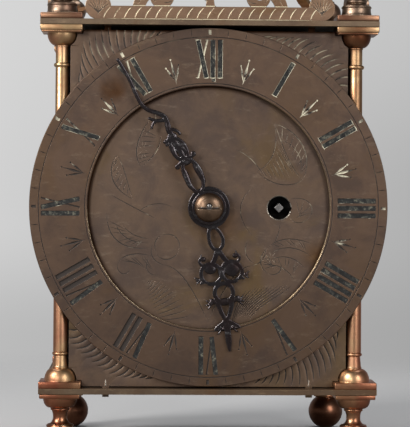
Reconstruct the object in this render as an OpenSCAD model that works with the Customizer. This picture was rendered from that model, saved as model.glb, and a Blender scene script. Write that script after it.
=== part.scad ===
// Lantern clock: a brass case of four pillars between two plates, a wide chapter ring,
// a bell on top and a spring driven timepiece with a short pendulum and a passing strike.
// Millimetres. X is right, the dial faces -Y and Z is up, with the origin on the table
// at the middle of the four feet.

/* [Case] */
// Distance between the centre lines of neighbouring pillars
pillar_spacing = 147.5; // [144:0.5:156]
// Height between the bottom plate and the top plate
inner_h = 181; // [178:1:196]
// Thickness of the bottom and top plates
plate_t = 2.7; // [2:0.1:3.6]
// How far both plates reach past the pillar centre lines
plate_overhang = 10.5; // [10.5:0.5:14]
// Width of the square blocks at the ends of each pillar
block_w = 21; // [19:0.5:22]
// Height of the turned feet
foot_h = 35.5; // [33:0.5:42]
// Radius of the ball of each foot
foot_ball_r = 9.8; // [8:0.1:11]
// Diameter of a pillar shaft at its lower end
shaft_low_d = 7.4; // [6.5:0.1:7.8]
// Diameter of a pillar shaft at its upper end
shaft_high_d = 6.3; // [5.5:0.1:7]
// Diameter of the bead near the lower end of a pillar
bead_low_d = 8.2; // [7.9:0.1:9]
// Diameter of the bead near the upper end of a pillar
bead_high_d = 7.6; // [7.2:0.1:8.2]
// Diameter of the spigots that join feet, pillars and finials through the plates
spigot_d = 5; // [4:0.5:6]
// Thickness of the side doors
door_t = 1.5; // [1:0.1:2]
// Diameter of the rod that each side door turns on
door_rod_d = 3.2; // [2.6:0.1:3.4]
// Diameter of the hinge pins at both ends of that rod
door_pin_d = 2.4; // [1.8:0.1:2.5]
// Thickness of the iron back panel
back_t = 1.5; // [1:0.1:2]

/* [Dial] */
// Outer diameter of the chapter ring
ring_d = 179; // [174:1:180]
// Diameter of the opening inside the chapter ring
ring_inner_d = 121; // [116:1:126]
// Thickness of the chapter ring
ring_t = 2; // [1.5:0.1:2.5]
// Gap between the dial plate and the chapter ring
ring_standoff = 1.6; // [1.2:0.1:2.2]
// Thickness of the dial plate
dial_t = 2; // [1.5:0.1:2.5]
// Distance from the dial centre to the winding hole
winding_x = 35.4; // [34:0.1:37]
// Diameter of the winding hole
winding_hole_d = 11.4; // [9:0.1:13]
// Side of the winding square
winding_square = 3.3; // [3:0.1:3.6]

/* [Hands] */
// Length of the minute hand from the dial centre to its tip
minute_hand_l = 86.5; // [80:0.5:88]
// Length of the hour hand from the dial centre to its tip
hour_hand_l = 72.5; // [68:0.5:78]
// Thickness of both hands
hand_t = 1; // [0.8:0.1:1.3]
// Gap between the chapter ring and the hour hand
hour_hand_gap = 1; // [0.6:0.1:1.4]
// Gap between the hour hand and the minute hand
minute_hand_gap = 1.6; // [1.2:0.1:2]
// Angle of the minute hand, clockwise from twelve
minute_hand_angle = 327.5; // [0:0.5:359.5]
// Angle of the hour hand, clockwise from twelve
hour_hand_angle = 172.6; // [0:0.1:359.9]

/* [Bell and frets] */
// Diameter of the bell at its lip
bell_d = 124; // [112:1:128]
// Height of the bell
bell_h = 47; // [42:1:50]
// Thickness of the bell's wall
bell_t = 2.4; // [1.8:0.1:3]
// Height of the bell's lip above the top plate
bell_lift = 40; // [38:0.5:44]
// Width of the four arms of the bell strap
strap_w = 7; // [5:0.5:9]
// Thickness of the arms of the bell strap
strap_t = 2.2; // [1.6:0.1:3]
// Thickness of the frets
fret_t = 1.6; // [1.2:0.1:2]
// Height of the engraved band at the foot of each fret
fret_band_h = 6.7; // [5:0.1:8]

/* [Movement] */
// Distance between the inner faces of the movement plates
movement_gap = 40; // [40:0.5:43]
// Thickness of the movement plates
movement_plate_t = 2.5; // [2:0.1:3]
// Diameter of the movement pillars
movement_pillar_d = 7; // [5:0.5:8]
// Length of the pendulum from its pivot to the middle of the bob
pendulum_l = 107.5; // [104:0.5:112]
// Radius of the pear shaped bob
bob_r = 11; // [8:0.5:13]
// Radius of the escape wheel
escape_r = 12; // [11:0.1:12.5]
// Inner radius of the mainspring barrel
barrel_inner_r = 20.6; // [18:0.1:21]
// Wall of the mainspring barrel
barrel_wall = 1.4; // [1:0.1:1.8]
// Thickness of the wheels
wheel_t = 1.5; // [1.2:0.1:1.8]

/* [Hidden] */
$fn = 64;

BRASS = [0.62, 0.47, 0.31];
DARK_BRASS = [0.40, 0.34, 0.28];
STEEL = [0.55, 0.55, 0.56];
BLUED = [0.18, 0.17, 0.18];

// Clearances: between loose neighbours, in a running fit and in a seated fit
loose = 0.3;
running = 0.05;
seated = 0.03;

// Heights of the case
half = pillar_spacing / 2;
plate_half = half + plate_overhang;
floor_z = foot_h + plate_t;
ceiling_z = floor_z + inner_h;
deck_z = ceiling_z + plate_t;
dial_z = floor_z + inner_h / 2;

// Turned ends of the pillars
base_block_h = 3.4;
base_bowl_h = 6.3;
base_bowl_r = 8;
cap_block_h = 3.9;
cap_bowl_h = 6.2;
cap_bowl_r = 7.4;
bead_low_z = 16.9;
bead_low_h = 1.8;
bead_high_drop = 20.2;
bead_high_h = 2.9;
foot_block_w = block_w - 1;
foot_block_h = 2.3;
finial_block_h = 3;
spigot_reach = 5;

// Depths, all along Y, counted back from the pillar shafts in front
ring_back_y = -half - shaft_low_d / 2 - 0.35;
ring_front_y = ring_back_y - ring_t;
dial_front_y = ring_back_y + ring_standoff;
dial_back_y = dial_front_y + dial_t;
hour_hand_y = ring_front_y - hour_hand_gap - hand_t;
minute_hand_y = hour_hand_y - minute_hand_gap - hand_t;
collet_front_y = minute_hand_y - 4;

// Dial plate between the pillars, with notches for their turned ends
sheet_w = pillar_spacing - bead_low_d - 2 * 0.2;
sheet_gap_low = 0.6;
sheet_gap_high = 2.2;
lug_x = 51;
lug_w = 3.2;
lug_reach = 2;
ring_foot_r = 75;
ring_foot_d = 3;
ring_pin_d = 1;
centre_hole_d = 11;

// Movement plates and their legs, around the dial centre
front_plate_y = -59;
front_inner_y = front_plate_y + movement_plate_t;
back_inner_y = front_inner_y + movement_gap;
back_plate_y = back_inner_y + movement_plate_t;
plate_left = -40;
plate_right = 66;
plate_low = -46;
plate_high = 52;
leg_w = 14;
corner_inset = 6;
bracket_t = 1.6;
bracket_l = 10;
screw_d = 2.4;
screw_head_d = 4.6;
screw_head_h = 1.6;
pivot_d = 1.4;
arbor_d = 2.4;
centre_arbor_d = 3;

// Tooth counts and modules of the train and the motion work
barrel_n = 84;
barrel_m = 0.6;
inter_pinion_n = 12;
inter_n = 72;
inter_m = 0.55;
centre_pinion_n = 9;
centre_n = 84;
centre_m = 0.42;
third_pinion_n = 7;
third_n = 84;
third_m = 0.38;
escape_pinion_n = 7;
escape_n = 38;
cannon_n = 36;
cannon_m = 0.7;
hour_pinion_n = 8;
hour_n = 96;
hour_m = (2 * cannon_n * cannon_m) / (hour_pinion_n + hour_n);
ratchet_n = 24;
ratchet_r = 8.5;

// Tooth shapes: addendum, dedendum in modules, half widths at root and tip in pitches
WHEEL = [1.0, 1.35, 0.32, 0.12];
PINION = [0.6, 1.4, 0.20, 0.12];
EQUAL = [0.9, 1.2, 0.33, 0.12];

// Centre distance of a pair of n and p teeth of module m
function span(n, p, m) = (n + p) * m / 2;

// Point at distance ra from a and rb from b, on the left of the way from a to b
function meet(a, ra, b, rb) =
    let (d = norm(b - a), u = (b - a) / d, k = (ra * ra - rb * rb + d * d) / (2 * d),
         h = sqrt(ra * ra - k * k))
    a + k * u + h * [-u[1], u[0]];

// Point on the centre line above p, at distance d from it
function plumb_above(p, d) = [0, p[1] + sqrt(d * d - p[0] * p[0])];

// Angle of a pinion, or wheel, that meshes with one at angle phi, across direction theta
function mesh_phase(theta, phi, n, p) = theta + 180 - (180 - (theta - phi) * n) / p;
function heading(a, b) = atan2(b[1] - a[1], b[0] - a[0]);

// Places of the arbors as x and z from the dial centre
centre_at = [0, 0];
barrel_at = [winding_x, 0];
inter_at = meet(barrel_at, span(barrel_n, inter_pinion_n, barrel_m),
                centre_at, span(inter_n, centre_pinion_n, inter_m));
third_angle = 128.9;
third_at = span(centre_n, third_pinion_n, centre_m) * [cos(third_angle), sin(third_angle)];
escape_at = plumb_above(third_at, span(third_n, escape_pinion_n, third_m));
pallet_drop = 17;
pallet_at = escape_at + [0, pallet_drop];
minute_wheel_angle = 120;
minute_wheel_at = cannon_n * cannon_m * [cos(minute_wheel_angle), sin(minute_wheel_angle)];
hammer_at = [28, 44];

// Depths of the wheels
barrel_wheel_y = front_inner_y + 2.5;
barrel_wheel_t = 2;
drum_l = 20.5;
cap_t = 1.2;
third_wheel_y = front_inner_y + 10.5;
centre_wheel_y = barrel_wheel_y + barrel_wheel_t + drum_l + cap_t + 1.8;
inter_wheel_y = centre_wheel_y + wheel_t + 4;
escape_wheel_y = inter_wheel_y;
pinion_extra = 1;
cannon_wheel_y = front_plate_y - 5.5;
motion_wheel_t = 2;
hour_wheel_y = front_plate_y - 11;
ratchet_y = front_plate_y - 2.1;
ratchet_t = 1.8;
pendulum_y = back_plate_y + 14.5;
cock_y = pendulum_y + 4.5;
cock_t = 2;

// Basic shapes

// Solid of revolution about Z from half profile points
module turned(profile) {
    rotate_extrude($fn = 96) polygon(profile);
}

// Outline in x and z, made into a sheet with its front face at depth y
module sheet(y, t) {
    translate([0, y + t, 0]) rotate([90, 0, 0]) linear_extrude(t) children();
}

// Flat work of several plies t thick, laid with its front face at depth y
module laid(y, t) {
    translate([0, y + t, 0]) rotate([90, 0, 0]) children();
}

// Ply cut as a band along a path
module strip(p, w0, w1, t) {
    linear_extrude(t) polygon(band(p, w0, w1));
}

// Ply cut as a polygon
module patch(p, t) {
    linear_extrude(t) polygon(p);
}

// Ply cut as a hoop of outer radius r and width w
module hoop(r, w, t) {
    difference() {
        cylinder(r = r, h = t);
        translate([0, 0, -1]) cylinder(r = r - w, h = t + 2);
    }
}

// Ply cut as an oval hoop of width w
module oval(cx, cy, rx, ry, w, t) {
    difference() {
        patch([for (i = [0 : 23]) [cx + rx * cos(15 * i), cy + ry * sin(15 * i)]], t);
        translate([0, 0, -1])
            patch([for (i = [0 : 23]) [cx + (rx - w) * cos(15 * i), cy + (ry - w) * sin(15 * i)]], t + 2);
    }
}

// Plies that come in pairs, one on each side of the middle line
module both() {
    children();
    mirror([1, 0, 0]) children();
}

// Round bar along Y between two depths
module bar(d, y0, y1) {
    translate([0, y0, 0]) rotate([-90, 0, 0]) cylinder(d = d, h = y1 - y0);
}

// Shape turned about Z, laid along Y with its foot at depth y and its top towards the front
module facing_front(y) {
    translate([0, y, 0]) rotate([90, 0, 0]) children();
}

// Place given by x and z from the dial centre
module at(p) {
    translate([p[0], 0, dial_z + p[1]]) children();
}

// One copy at each corner of the case
module corners() {
    for (x = [-half, half], y = [-half, half]) translate([x, y, 0]) children();
}

// Points of a cubic curve
function curve(a, b, c, d, n = 10) = [
    for (i = [0 : n]) let (t = i / n, s = 1 - t)
        s * s * s * a + 3 * s * s * t * b + 3 * s * t * t * c + t * t * t * d
];

// Unit vector across a path at point i
function across(p, i) =
    let (a = p[max(i - 1, 0)], b = p[min(i + 1, len(p) - 1)], u = (b - a) / norm(b - a))
    [-u[1], u[0]];

// Outline of a band along a path, with its width going from w0 to w1
function band(p, w0, w1) = let (n = len(p) - 1) concat(
    [for (i = [0 : n]) p[i] + across(p, i) * (w0 + (w1 - w0) * i / n) / 2],
    [for (i = [n : -1 : 0]) p[i] - across(p, i) * (w0 + (w1 - w0) * i / n) / 2]
);

// Quarter of an ellipse from its widest point (r, z) to a narrower one
function dome(r0, z0, r1, z1, n = 8) = [
    for (i = [0 : n]) let (a = 90 * i / n)
        [r1 + (r0 - r1) * cos(a), z0 + (z1 - z0) * sin(a)]
];

// Concave quarter from a wide foot to a narrow neck
function cove(r0, z0, r1, z1, n = 8) = [
    for (i = [0 : n]) let (a = 90 * i / n)
        [r0 + (r1 - r0) * sin(a), z1 + (z0 - z1) * cos(a)]
];

// Half round bead of radius r that starts at height z and is h high
function bead(r, z, h, n = 8) = [
    for (i = [0 : n]) let (a = -90 + 180 * i / n)
        [r - h / 2 + h / 2 * cos(a), z + h / 2 + h / 2 * sin(a)]
];

// Toothed outline of n teeth of module m
module teeth(n, m, shape, phase) {
    r = n * m / 2;
    root = r - shape[1] * m;
    tip = r + shape[0] * m;
    polygon([
        for (k = [0 : n - 1], e = [[-shape[2], root], [-shape[3], tip], [shape[3], tip],
                                   [shape[2], root]])
            let (a = phase + (k + e[0]) * 360 / n) e[1] * [cos(a), sin(a)]
    ]);
}

// Train wheel with five arms, bored for its arbor
module train_wheel(y, n, m, phase, bore) {
    rim = n * m / 2 - 1.35 * m - 1.6;
    hub = bore / 2 + 2.2;
    sheet(y, wheel_t) difference() {
        teeth(n, m, WHEEL, phase);
        circle(d = bore);
        for (k = [0 : 4]) rotate(72 * k + phase) arm_gap(hub, rim, 2);
    }
}

// Opening between two wheel arms of width w
module arm_gap(r0, r1, w) {
    a0 = asin(w / 2 / r0);
    a1 = asin(w / 2 / r1);
    polygon(concat(
        [for (i = [0 : 6]) let (a = a1 + (72 - 2 * a1) * i / 6) r1 * [cos(a), sin(a)]],
        [for (i = [3 : -1 : 0]) let (a = a0 + (72 - 2 * a0) * i / 3) r0 * [cos(a), sin(a)]]
    ));
}

// Arbor with its pivots in both movement plates and one pinion cut on it
module pinion_arbor(d, pinion_y, pinion_l, n, m, phase) {
    bar(pivot_d, front_plate_y, front_inner_y + 0.4);
    bar(d, front_inner_y + loose, back_inner_y - loose);
    bar(pivot_d, back_inner_y - 0.4, back_plate_y);
    sheet(pinion_y, pinion_l) teeth(n, m, PINION, phase);
}

// Slotted cheese head screw along -Z, its head's underside at the origin
module screw(l) {
    difference() {
        union() {
            cylinder(d = screw_head_d, h = screw_head_h);
            translate([0, 0, -l]) cylinder(d = screw_d, h = l + screw_head_h / 2);
        }
        translate([-screw_head_d, -0.35, screw_head_h - 0.6]) cube([2 * screw_head_d, 0.7, 1]);
    }
}

// Small turned pull knob along +Z, its seat at the origin and its stem l long behind it
module knob(r, l) {
    translate([0, 0, -l]) cylinder(d = 2.4, h = l + 1);
    turned(concat([[0, 0], [3.4, 0]], cove(3.4, 0.8, 1.5, 3.4, 5),
        [for (i = [0 : 9]) let (a = -62 + 152 * i / 9)
            [r * cos(a), 3.2 + r + r * sin(a)]]));
}

// Case

module plate_outline(t) {
    translate([-plate_half, -plate_half, 0]) cube([2 * plate_half, 2 * plate_half, t]);
}

module lug_slots(y, t) {
    for (x = [-lug_x, lug_x])
        translate([x - lug_w / 2 - 0.15, y - 0.15, -1]) cube([lug_w + 0.3, t + 0.3, plate_t + 2]);
}

hinge_y = half - block_w / 2 - door_rod_d / 2 - 0.35;
fret_y = -plate_half + 2.5;
fret_half = half - block_w / 2 - 1;
fret_lug_x = 34;
fret_lug_l = 7;
door_stop_y = -52;
leg_x = [plate_left + leg_w / 2, plate_right - leg_w / 2];

module bottom_plate() {
    color(DARK_BRASS) {
        difference() {
            translate([0, 0, foot_h]) difference() {
                plate_outline(plate_t);
                corners() translate([0, 0, -1]) cylinder(d = spigot_d + 2 * seated, h = plate_t + 2);
                lug_slots(dial_front_y, dial_t);
                lug_slots(-dial_front_y - back_t, back_t);
                for (x = [-half, half])
                    translate([x, hinge_y, -1]) cylinder(d = door_pin_d + 2 * running, h = plate_t + 2);
            }
            for (x = leg_x, y = [bracket_screw_front_y, bracket_screw_back_y])
                translate([x, y, foot_h - 1]) cylinder(d = screw_d + 2 * seated, h = plate_t + 2);
        }
        for (s = [-1, 1])
            translate([s * (half - door_t / 2 - 0.2 - 1), door_stop_y, foot_h + plate_t / 2])
                cylinder(d = 2, h = plate_t / 2 + 4);
    }
}

module top_plate() {
    color(DARK_BRASS) translate([0, 0, ceiling_z]) difference() {
        plate_outline(plate_t);
        corners() translate([0, 0, -1]) cylinder(d = spigot_d + 2 * seated, h = plate_t + 2);
        lug_slots(dial_front_y, dial_t);
        lug_slots(-dial_front_y - back_t, back_t);
        for (x = [-half, half])
            translate([x, hinge_y, -1]) cylinder(d = door_pin_d + 2 * running, h = plate_t + 2);
        for (a = [0, 90, 270], x = [-fret_lug_x, fret_lug_x])
            rotate(a) translate([x, fret_y + fret_t + fret_lug_l / 2, -1])
                cylinder(d = screw_d + 2 * seated, h = plate_t + 2);
        translate([hammer_slot_x[0], hammer_y - 2.4, -1])
            cube([hammer_slot_x[1] - hammer_slot_x[0], 4.8 + hammer_stem_t - 1.6, plate_t + 2]);
    }
}

module corner_pillars() {
    z0 = floor_z;
    z1 = ceiling_z;
    shaft_low = shaft_low_d / 2;
    shaft_high = shaft_high_d / 2;
    profile = concat(
        [[0, z0 + 1], [base_bowl_r, z0 + 1]],
        dome(base_bowl_r, z0 + base_block_h, shaft_low, z0 + base_block_h + base_bowl_h),
        bead(bead_low_d / 2, z0 + bead_low_z - 0.9, bead_low_h),
        bead(bead_high_d / 2, z1 - bead_high_drop - bead_high_h, bead_high_h),
        reversed(dome(cap_bowl_r, z1 - cap_block_h, shaft_high, z1 - cap_block_h - cap_bowl_h)),
        [[cap_bowl_r, z1 - 1], [0, z1 - 1]]
    );
    color(BRASS) corners() {
        turned(profile);
        translate([-block_w / 2, -block_w / 2, z0]) cube([block_w, block_w, base_block_h]);
        translate([-block_w / 2, -block_w / 2, z1 - cap_block_h]) cube([block_w, block_w, cap_block_h]);
        translate([0, 0, z0 - plate_t - spigot_reach])
            cylinder(d = spigot_d, h = spigot_reach + plate_t + 1);
        translate([0, 0, z1 - 1]) cylinder(d = spigot_d, h = spigot_reach + plate_t + 1);
    }
}

function reversed(p) = [for (i = [len(p) - 1 : -1 : 0]) p[i]];

module ball_feet() {
    ball_z = foot_ball_r - 0.2;
    neck_r = 3.8;
    neck_top = foot_h - 8.8;
    ball_top = acos(ball_z / foot_ball_r);
    flat_r = foot_ball_r * sin(ball_top);
    join = asin(neck_r / foot_ball_r);
    profile = concat(
        [[0, 0], [flat_r, 0]],
        [for (i = [1 : 15]) let (a = ball_top + (180 - join - ball_top) * i / 15)
            [foot_ball_r * sin(a), ball_z - foot_ball_r * cos(a)]],
        [[neck_r, neck_top - 3.2]],
        cove(neck_r, neck_top - 3, 4.4, neck_top, 4),
        bead(4.9, neck_top + 0.1, 1.2, 6),
        cove(4.3, neck_top + 1.4, base_bowl_r + 0.8, foot_h - foot_block_h, 8),
        [[base_bowl_r + 0.8, foot_h - 1], [0, foot_h - 1]]
    );
    color(BRASS) corners() difference() {
        union() {
            turned(profile);
            translate([-foot_block_w / 2, -foot_block_w / 2, foot_h - foot_block_h])
                cube([foot_block_w, foot_block_w, foot_block_h]);
        }
        translate([0, 0, foot_h - spigot_reach - 0.5])
            cylinder(d = spigot_d + 2 * seated, h = spigot_reach + 1.5);
    }
}

// Half profile of a turned finial of height h on a foot of radius r, from height z
function finial_profile(z, r, h) = concat(
    [[0, z], [r, z], [r, z + 0.03 * h]],
    cove(r, z + 0.03 * h, 0.45 * r, z + 0.2 * h),
    bead(0.66 * r, z + 0.2 * h, 0.06 * h),
    [for (i = [0 : 14]) let (a = -62 + 128 * i / 14)
        [0.12 * r + 0.78 * r * cos(a), z + 0.46 * h + 0.19 * h * sin(a)]],
    cove(0.42 * r, z + 0.66 * h, 0.25 * r, z + 0.72 * h, 4),
    bead(0.44 * r, z + 0.73 * h, 0.05 * h, 6),
    [for (i = [0 : 8]) let (a = -50 + 128 * i / 8)
        [0.34 * r * cos(a), z + 0.87 * h + 0.09 * h * sin(a)]],
    [[0, z + h]]
);

finial_h = 34;
finial_r = 8;
urn_r = 0.9 * finial_r;
strap_end_z = deck_z + finial_block_h - 0.5 + 0.46 * finial_h;
strap_pin_d = 2.6;
strap_pin_l = 3.4;
corner_r = half * sqrt(2);

// Pins of the strap, or their bores, in the urns of the four finials
module strap_pins(extra) {
    for (a = [45 : 90 : 315]) rotate(a)
        translate([corner_r - urn_r - 1.5, 0, strap_end_z]) rotate([0, 90, 0])
            cylinder(d = strap_pin_d + extra, h = 1.5 + strap_pin_l + extra);
}

module corner_finials() {
    color(BRASS) difference() {
        corners() difference() {
            union() {
                turned(finial_profile(deck_z + finial_block_h - 0.5, finial_r, finial_h));
                translate([-block_w / 2, -block_w / 2, deck_z]) cube([block_w, block_w, finial_block_h]);
            }
            translate([0, 0, deck_z - 1]) cylinder(d = spigot_d + 2 * seated, h = spigot_reach + 1.5);
        }
        strap_pins(2 * seated);
    }
}

// Door or panel outline between the pillars: x across, z up, notched for the turned ends
module notched_sheet(w, z0, z1) {
    e = w / 2;
    block = half - block_w / 2 - loose;
    bowl = half - base_bowl_r - 0.45;
    low = floor_z + base_block_h + loose;
    low_bowl = floor_z + base_block_h + base_bowl_h + 0.2;
    high = ceiling_z - cap_block_h - loose;
    high_bowl = ceiling_z - cap_block_h - cap_bowl_h - 0.2;
    right = [[block, z0], [block, low], [bowl, low], [bowl, low_bowl], [e, low_bowl],
             [e, high_bowl], [bowl, high_bowl], [bowl, high], [block, high], [block, z1]];
    polygon(concat(right, [for (p = reversed(right)) [-p[0], p[1]]]));
}

// Lugs of a panel: two down through the bottom plate, two up into the top plate
module lugs(z1, gap_high) {
    for (x = [-lug_x, lug_x]) {
        translate([x - lug_w / 2, foot_h - lug_reach]) square([lug_w, plate_t + lug_reach + 4]);
        translate([x - lug_w / 2, z1 - 3]) square([lug_w, gap_high + 3 + plate_t]);
    }
}

module dial_plate() {
    z0 = floor_z + sheet_gap_low;
    z1 = ceiling_z - sheet_gap_high;
    color(DARK_BRASS) sheet(dial_front_y, dial_t) difference() {
        union() {
            notched_sheet(sheet_w, z0, z1);
            lugs(z1, sheet_gap_high);
        }
        translate([0, dial_z]) {
            circle(d = centre_hole_d);
            translate(barrel_at) circle(d = winding_hole_d);
            for (a = [45 : 90 : 315]) rotate(a) translate([ring_foot_r, 0])
                circle(d = ring_foot_d + 2 * seated);
        }
    }
}

module back_panel() {
    z0 = floor_z + sheet_gap_low;
    z1 = ceiling_z - sheet_gap_low;
    color(STEEL) sheet(-dial_front_y - back_t, back_t) difference() {
        union() {
            notched_sheet(sheet_w, z0, z1);
            lugs(z1, sheet_gap_low);
        }
        translate([0, dial_z]) circle(d = 2.4 + 2 * seated);
    }
}

module back_panel_knob() {
    color(BRASS) translate([0, -dial_front_y, dial_z]) rotate([-90, 0, 0]) knob(4, back_t + 1);
}

// Side door, drawn closed: x is its outer side, y runs along it
module door(side) {
    z0 = floor_z + loose;
    z1 = ceiling_z - loose;
    color(BRASS) {
        translate([side * half - door_t / 2, 0, 0]) rotate([90, 0, 90]) linear_extrude(door_t)
            difference() {
                intersection() {
                    notched_sheet(sheet_w, z0 + 0.5, z1 - 0.5);
                    translate([-half, 0]) square([2 * half, ceiling_z]);
                }
                translate([door_knob_y, dial_z]) circle(d = 2.4 + 2 * seated);
            }
        translate([side * half, hinge_y, z0]) cylinder(d = door_rod_d, h = z1 - z0);
        translate([side * half, hinge_y, floor_z - plate_t + 0.4])
            cylinder(d = door_pin_d, h = plate_t - 0.4 + inner_h + plate_t - 0.4);
    }
}

door_knob_y = -half + 16;

module left_door() {
    door(-1);
}

module right_door() {
    door(1);
}

module door_knob(side) {
    color(BRASS) translate([side * (half + door_t / 2), door_knob_y, dial_z])
        rotate([0, side * 90, 0]) knob(4, door_t + 1);
}

module left_door_knob() {
    door_knob(-1);
}

module right_door_knob() {
    door_knob(1);
}

// Chapter ring with four feet, pinned behind the dial plate

module chapter_ring() {
    color(DARK_BRASS) at([0, 0]) difference() {
        union() {
            facing_front(ring_back_y) difference() {
                cylinder(d = ring_d, h = ring_t, $fn = 180);
                translate([0, 0, -1]) cylinder(d = ring_inner_d, h = ring_t + 2, $fn = 180);
            }
            for (a = [45 : 90 : 315]) translate(ring_foot_r * [cos(a), 0, sin(a)]) {
                bar(ring_foot_d + 2.4, ring_back_y - 0.5, dial_front_y);
                bar(ring_foot_d, ring_back_y - 0.5, dial_back_y + 2.4);
            }
        }
        ring_pin_holes(2 * seated);
    }
}

module ring_pin_holes(extra) {
    for (a = [45 : 90 : 315])
        translate([ring_foot_r * cos(a) - 3.5, dial_back_y + 0.6 + ring_pin_d / 2, ring_foot_r * sin(a)])
            rotate([0, 90, 0]) cylinder(d = ring_pin_d + extra, h = 7);
}

module ring_pins() {
    color(STEEL) at([0, 0]) ring_pin_holes(0);
}

// Frets above the top plate

module fret_plies(t) {
    difference() {
        union() {
            patch([[-fret_half + 8, 0], [fret_half - 8, 0], [fret_half - 10, fret_band_h],
                   [-fret_half + 10, fret_band_h]], t);
            both() {
                translate([fret_half - 6.6, 6.4, 0]) cylinder(r = 6.4, h = t);
                fret_fish(t);
            }
            translate([0, 17.5, 0]) hoop(7.4, 2.6, t);
            patch([[-2.6, 5], [2.6, 5], [1.4, 12.5], [-1.4, 12.5]], t);
            patch([[0, 38], [-3.6, 32], [-2.4, 23.4], [2.4, 23.4], [3.6, 32]], t);
            translate([0, 17.5, 0]) cylinder(r = 2.7, h = t);
            translate([-0.9, 11, 0]) cube([1.8, 13.4, t]);
        }
        both() translate([24.5, 12.2, -1]) cylinder(r = 2.2, h = t + 2);
    }
}

// Fish with its head on the band, its back arched and its tail curled up at the middle
module fret_fish(t) {
    back = curve([55, 8], [52, 26], [28, 30], [19, 15], 12);
    tail = curve([20, 17], [15, 31], [9, 24], [3, 30], 8);
    head = curve([36, 5], [34, 13], [30, 18], [18, 12], 8);
    fin = curve([40, 21], [38, 30], [30, 33], [25, 29], 6);
    strip(back, 8, 6, t);
    strip(tail, 5.5, 2.4, t);
    strip(head, 6, 7, t);
    strip(fin, 4, 1.6, t);
    translate([24, 11.5, 0]) cylinder(r = 6, h = t);
}

module fret() {
    difference() {
        union() {
            translate([0, 0, deck_z]) laid(fret_y, fret_t) fret_plies(fret_t);
            for (x = [-fret_lug_x, fret_lug_x])
                translate([x - 4, fret_y + fret_t / 2, deck_z])
                    cube([8, fret_lug_l + fret_t / 2, 1.4]);
        }
        for (x = [-fret_lug_x, fret_lug_x])
            translate([x, fret_y + fret_t + fret_lug_l / 2, deck_z - 1])
                cylinder(d = screw_d + 2 * seated, h = 4);
    }
}

module front_fret() {
    color(BRASS) fret();
}

module left_fret() {
    color(BRASS) rotate(270) fret();
}

module right_fret() {
    color(BRASS) rotate(90) fret();
}

module fret_screws() {
    color(STEEL) for (a = [0, 90, 270], x = [-fret_lug_x, fret_lug_x])
        rotate(a) translate([x, fret_y + fret_t + fret_lug_l / 2, deck_z + 1.4]) screw(1.4 + plate_t);
}

// Bell

lip_z = deck_z + bell_lift;
crown_z = lip_z + bell_h;
boss_z = crown_z + 8;
boss_t = 3;
boss_d = 18;
stud_d = 4;

// Outer profile of the bell: a flared lip, a waist and a round crown
function bell_side(r, z, h, top_z) = concat(
    curve([r, z], [r - 2.5, z + 4], [r - 3.5, z + 9], [r - 4.5, z + 0.3 * h], 6),
    [for (i = [1 : 14]) let (a = 90 * i / 14)
        [(r - 4.5) * cos(a), z + 0.3 * h + (top_z - z - 0.3 * h) * sin(a)]]
);

module bell() {
    outer = bell_side(bell_d / 2, lip_z, bell_h, crown_z);
    inner = bell_side(bell_d / 2 - bell_t, lip_z, bell_h, crown_z - bell_t);
    color([0.66, 0.56, 0.36]) difference() {
        turned(concat(reversed(outer), inner));
        translate([0, 0, crown_z - 2 * bell_t]) cylinder(d = stud_d + 2 * seated, h = 4 * bell_t);
    }
}

module bell_strap() {
    rise = curve([corner_r - urn_r - 0.3, strap_end_z], [corner_r - 24, strap_end_z],
                 [bell_d / 2 + 12, lip_z - 8], [bell_d / 2 + 7.5, lip_z + 7], 8);
    over = curve([bell_d / 2 + 7.5, lip_z + 7], [bell_d / 2 + 2, boss_z - 14],
                 [bell_d / 2 - 24, boss_z + boss_t / 2], [6, boss_z + boss_t / 2], 12);
    path = concat(rise, [for (i = [1 : len(over) - 1]) over[i]]);
    color(BRASS) difference() {
        union() {
            for (a = [45 : 90 : 315]) rotate(a) {
                rotate([90, 0, 0]) translate([0, 0, -strap_w / 2]) linear_extrude(strap_w)
                    polygon(band(path, strap_t, strap_t));
            }
            translate([0, 0, boss_z]) cylinder(d = boss_d, h = boss_t);
            strap_pins(0);
        }
        translate([0, 0, boss_z - 1]) cylinder(d = stud_d + 2 * seated, h = boss_t + 2);
    }
}

module bell_stud() {
    color(STEEL) {
        translate([0, 0, crown_z - bell_t - 6]) cylinder(d = stud_d, h = bell_t + 6 + 8 + boss_t + 6);
        translate([0, 0, crown_z]) cylinder(d = 9, h = boss_z - crown_z);
    }
}

module bell_nut() {
    color(STEEL) translate([0, 0, crown_z - bell_t - 4.4]) difference() {
        union() {
            cylinder(d = 9, h = 3.4, $fn = 6);
            translate([0, 0, 3.4]) cylinder(d = 11, h = 0.8);
        }
        translate([0, 0, -1]) cylinder(d = stud_d + 2 * seated, h = 7);
    }
}

module top_finial() {
    z = boss_z + boss_t;
    color(BRASS) difference() {
        turned(finial_profile(z, 9.5, 48));
        translate([0, 0, z - 1]) cylinder(d = stud_d + 2 * seated, h = 7.5);
    }
}

// Movement frame

bracket_screw_front_y = front_plate_y + movement_plate_t + bracket_t + bracket_l / 2;
bracket_screw_back_y = back_inner_y - bracket_t - bracket_l / 2;
seat_screw_z = 8;

module movement_sheet() {
    difference() {
        union() {
            translate([plate_left, plate_low])
                square([plate_right - plate_left, plate_high - plate_low]);
            for (x = leg_x) translate([x - leg_w / 2, floor_z - dial_z])
                square([leg_w, dial_z - floor_z + plate_low + 1]);
        }
        for (p = pillar_places) translate(p) circle(d = screw_d + 2 * seated);
        for (x = leg_x) translate([x, floor_z - dial_z + seat_screw_z])
            circle(d = screw_d + 2 * seated);
        for (p = [inter_at, third_at, escape_at, hammer_at])
            translate(p) circle(d = pivot_d + 2 * running);
        translate(barrel_at) circle(d = barrel_pivot_d + 2 * running);
        translate(centre_at) circle(d = centre_pivot_d + 2 * running);
    }
}

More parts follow.
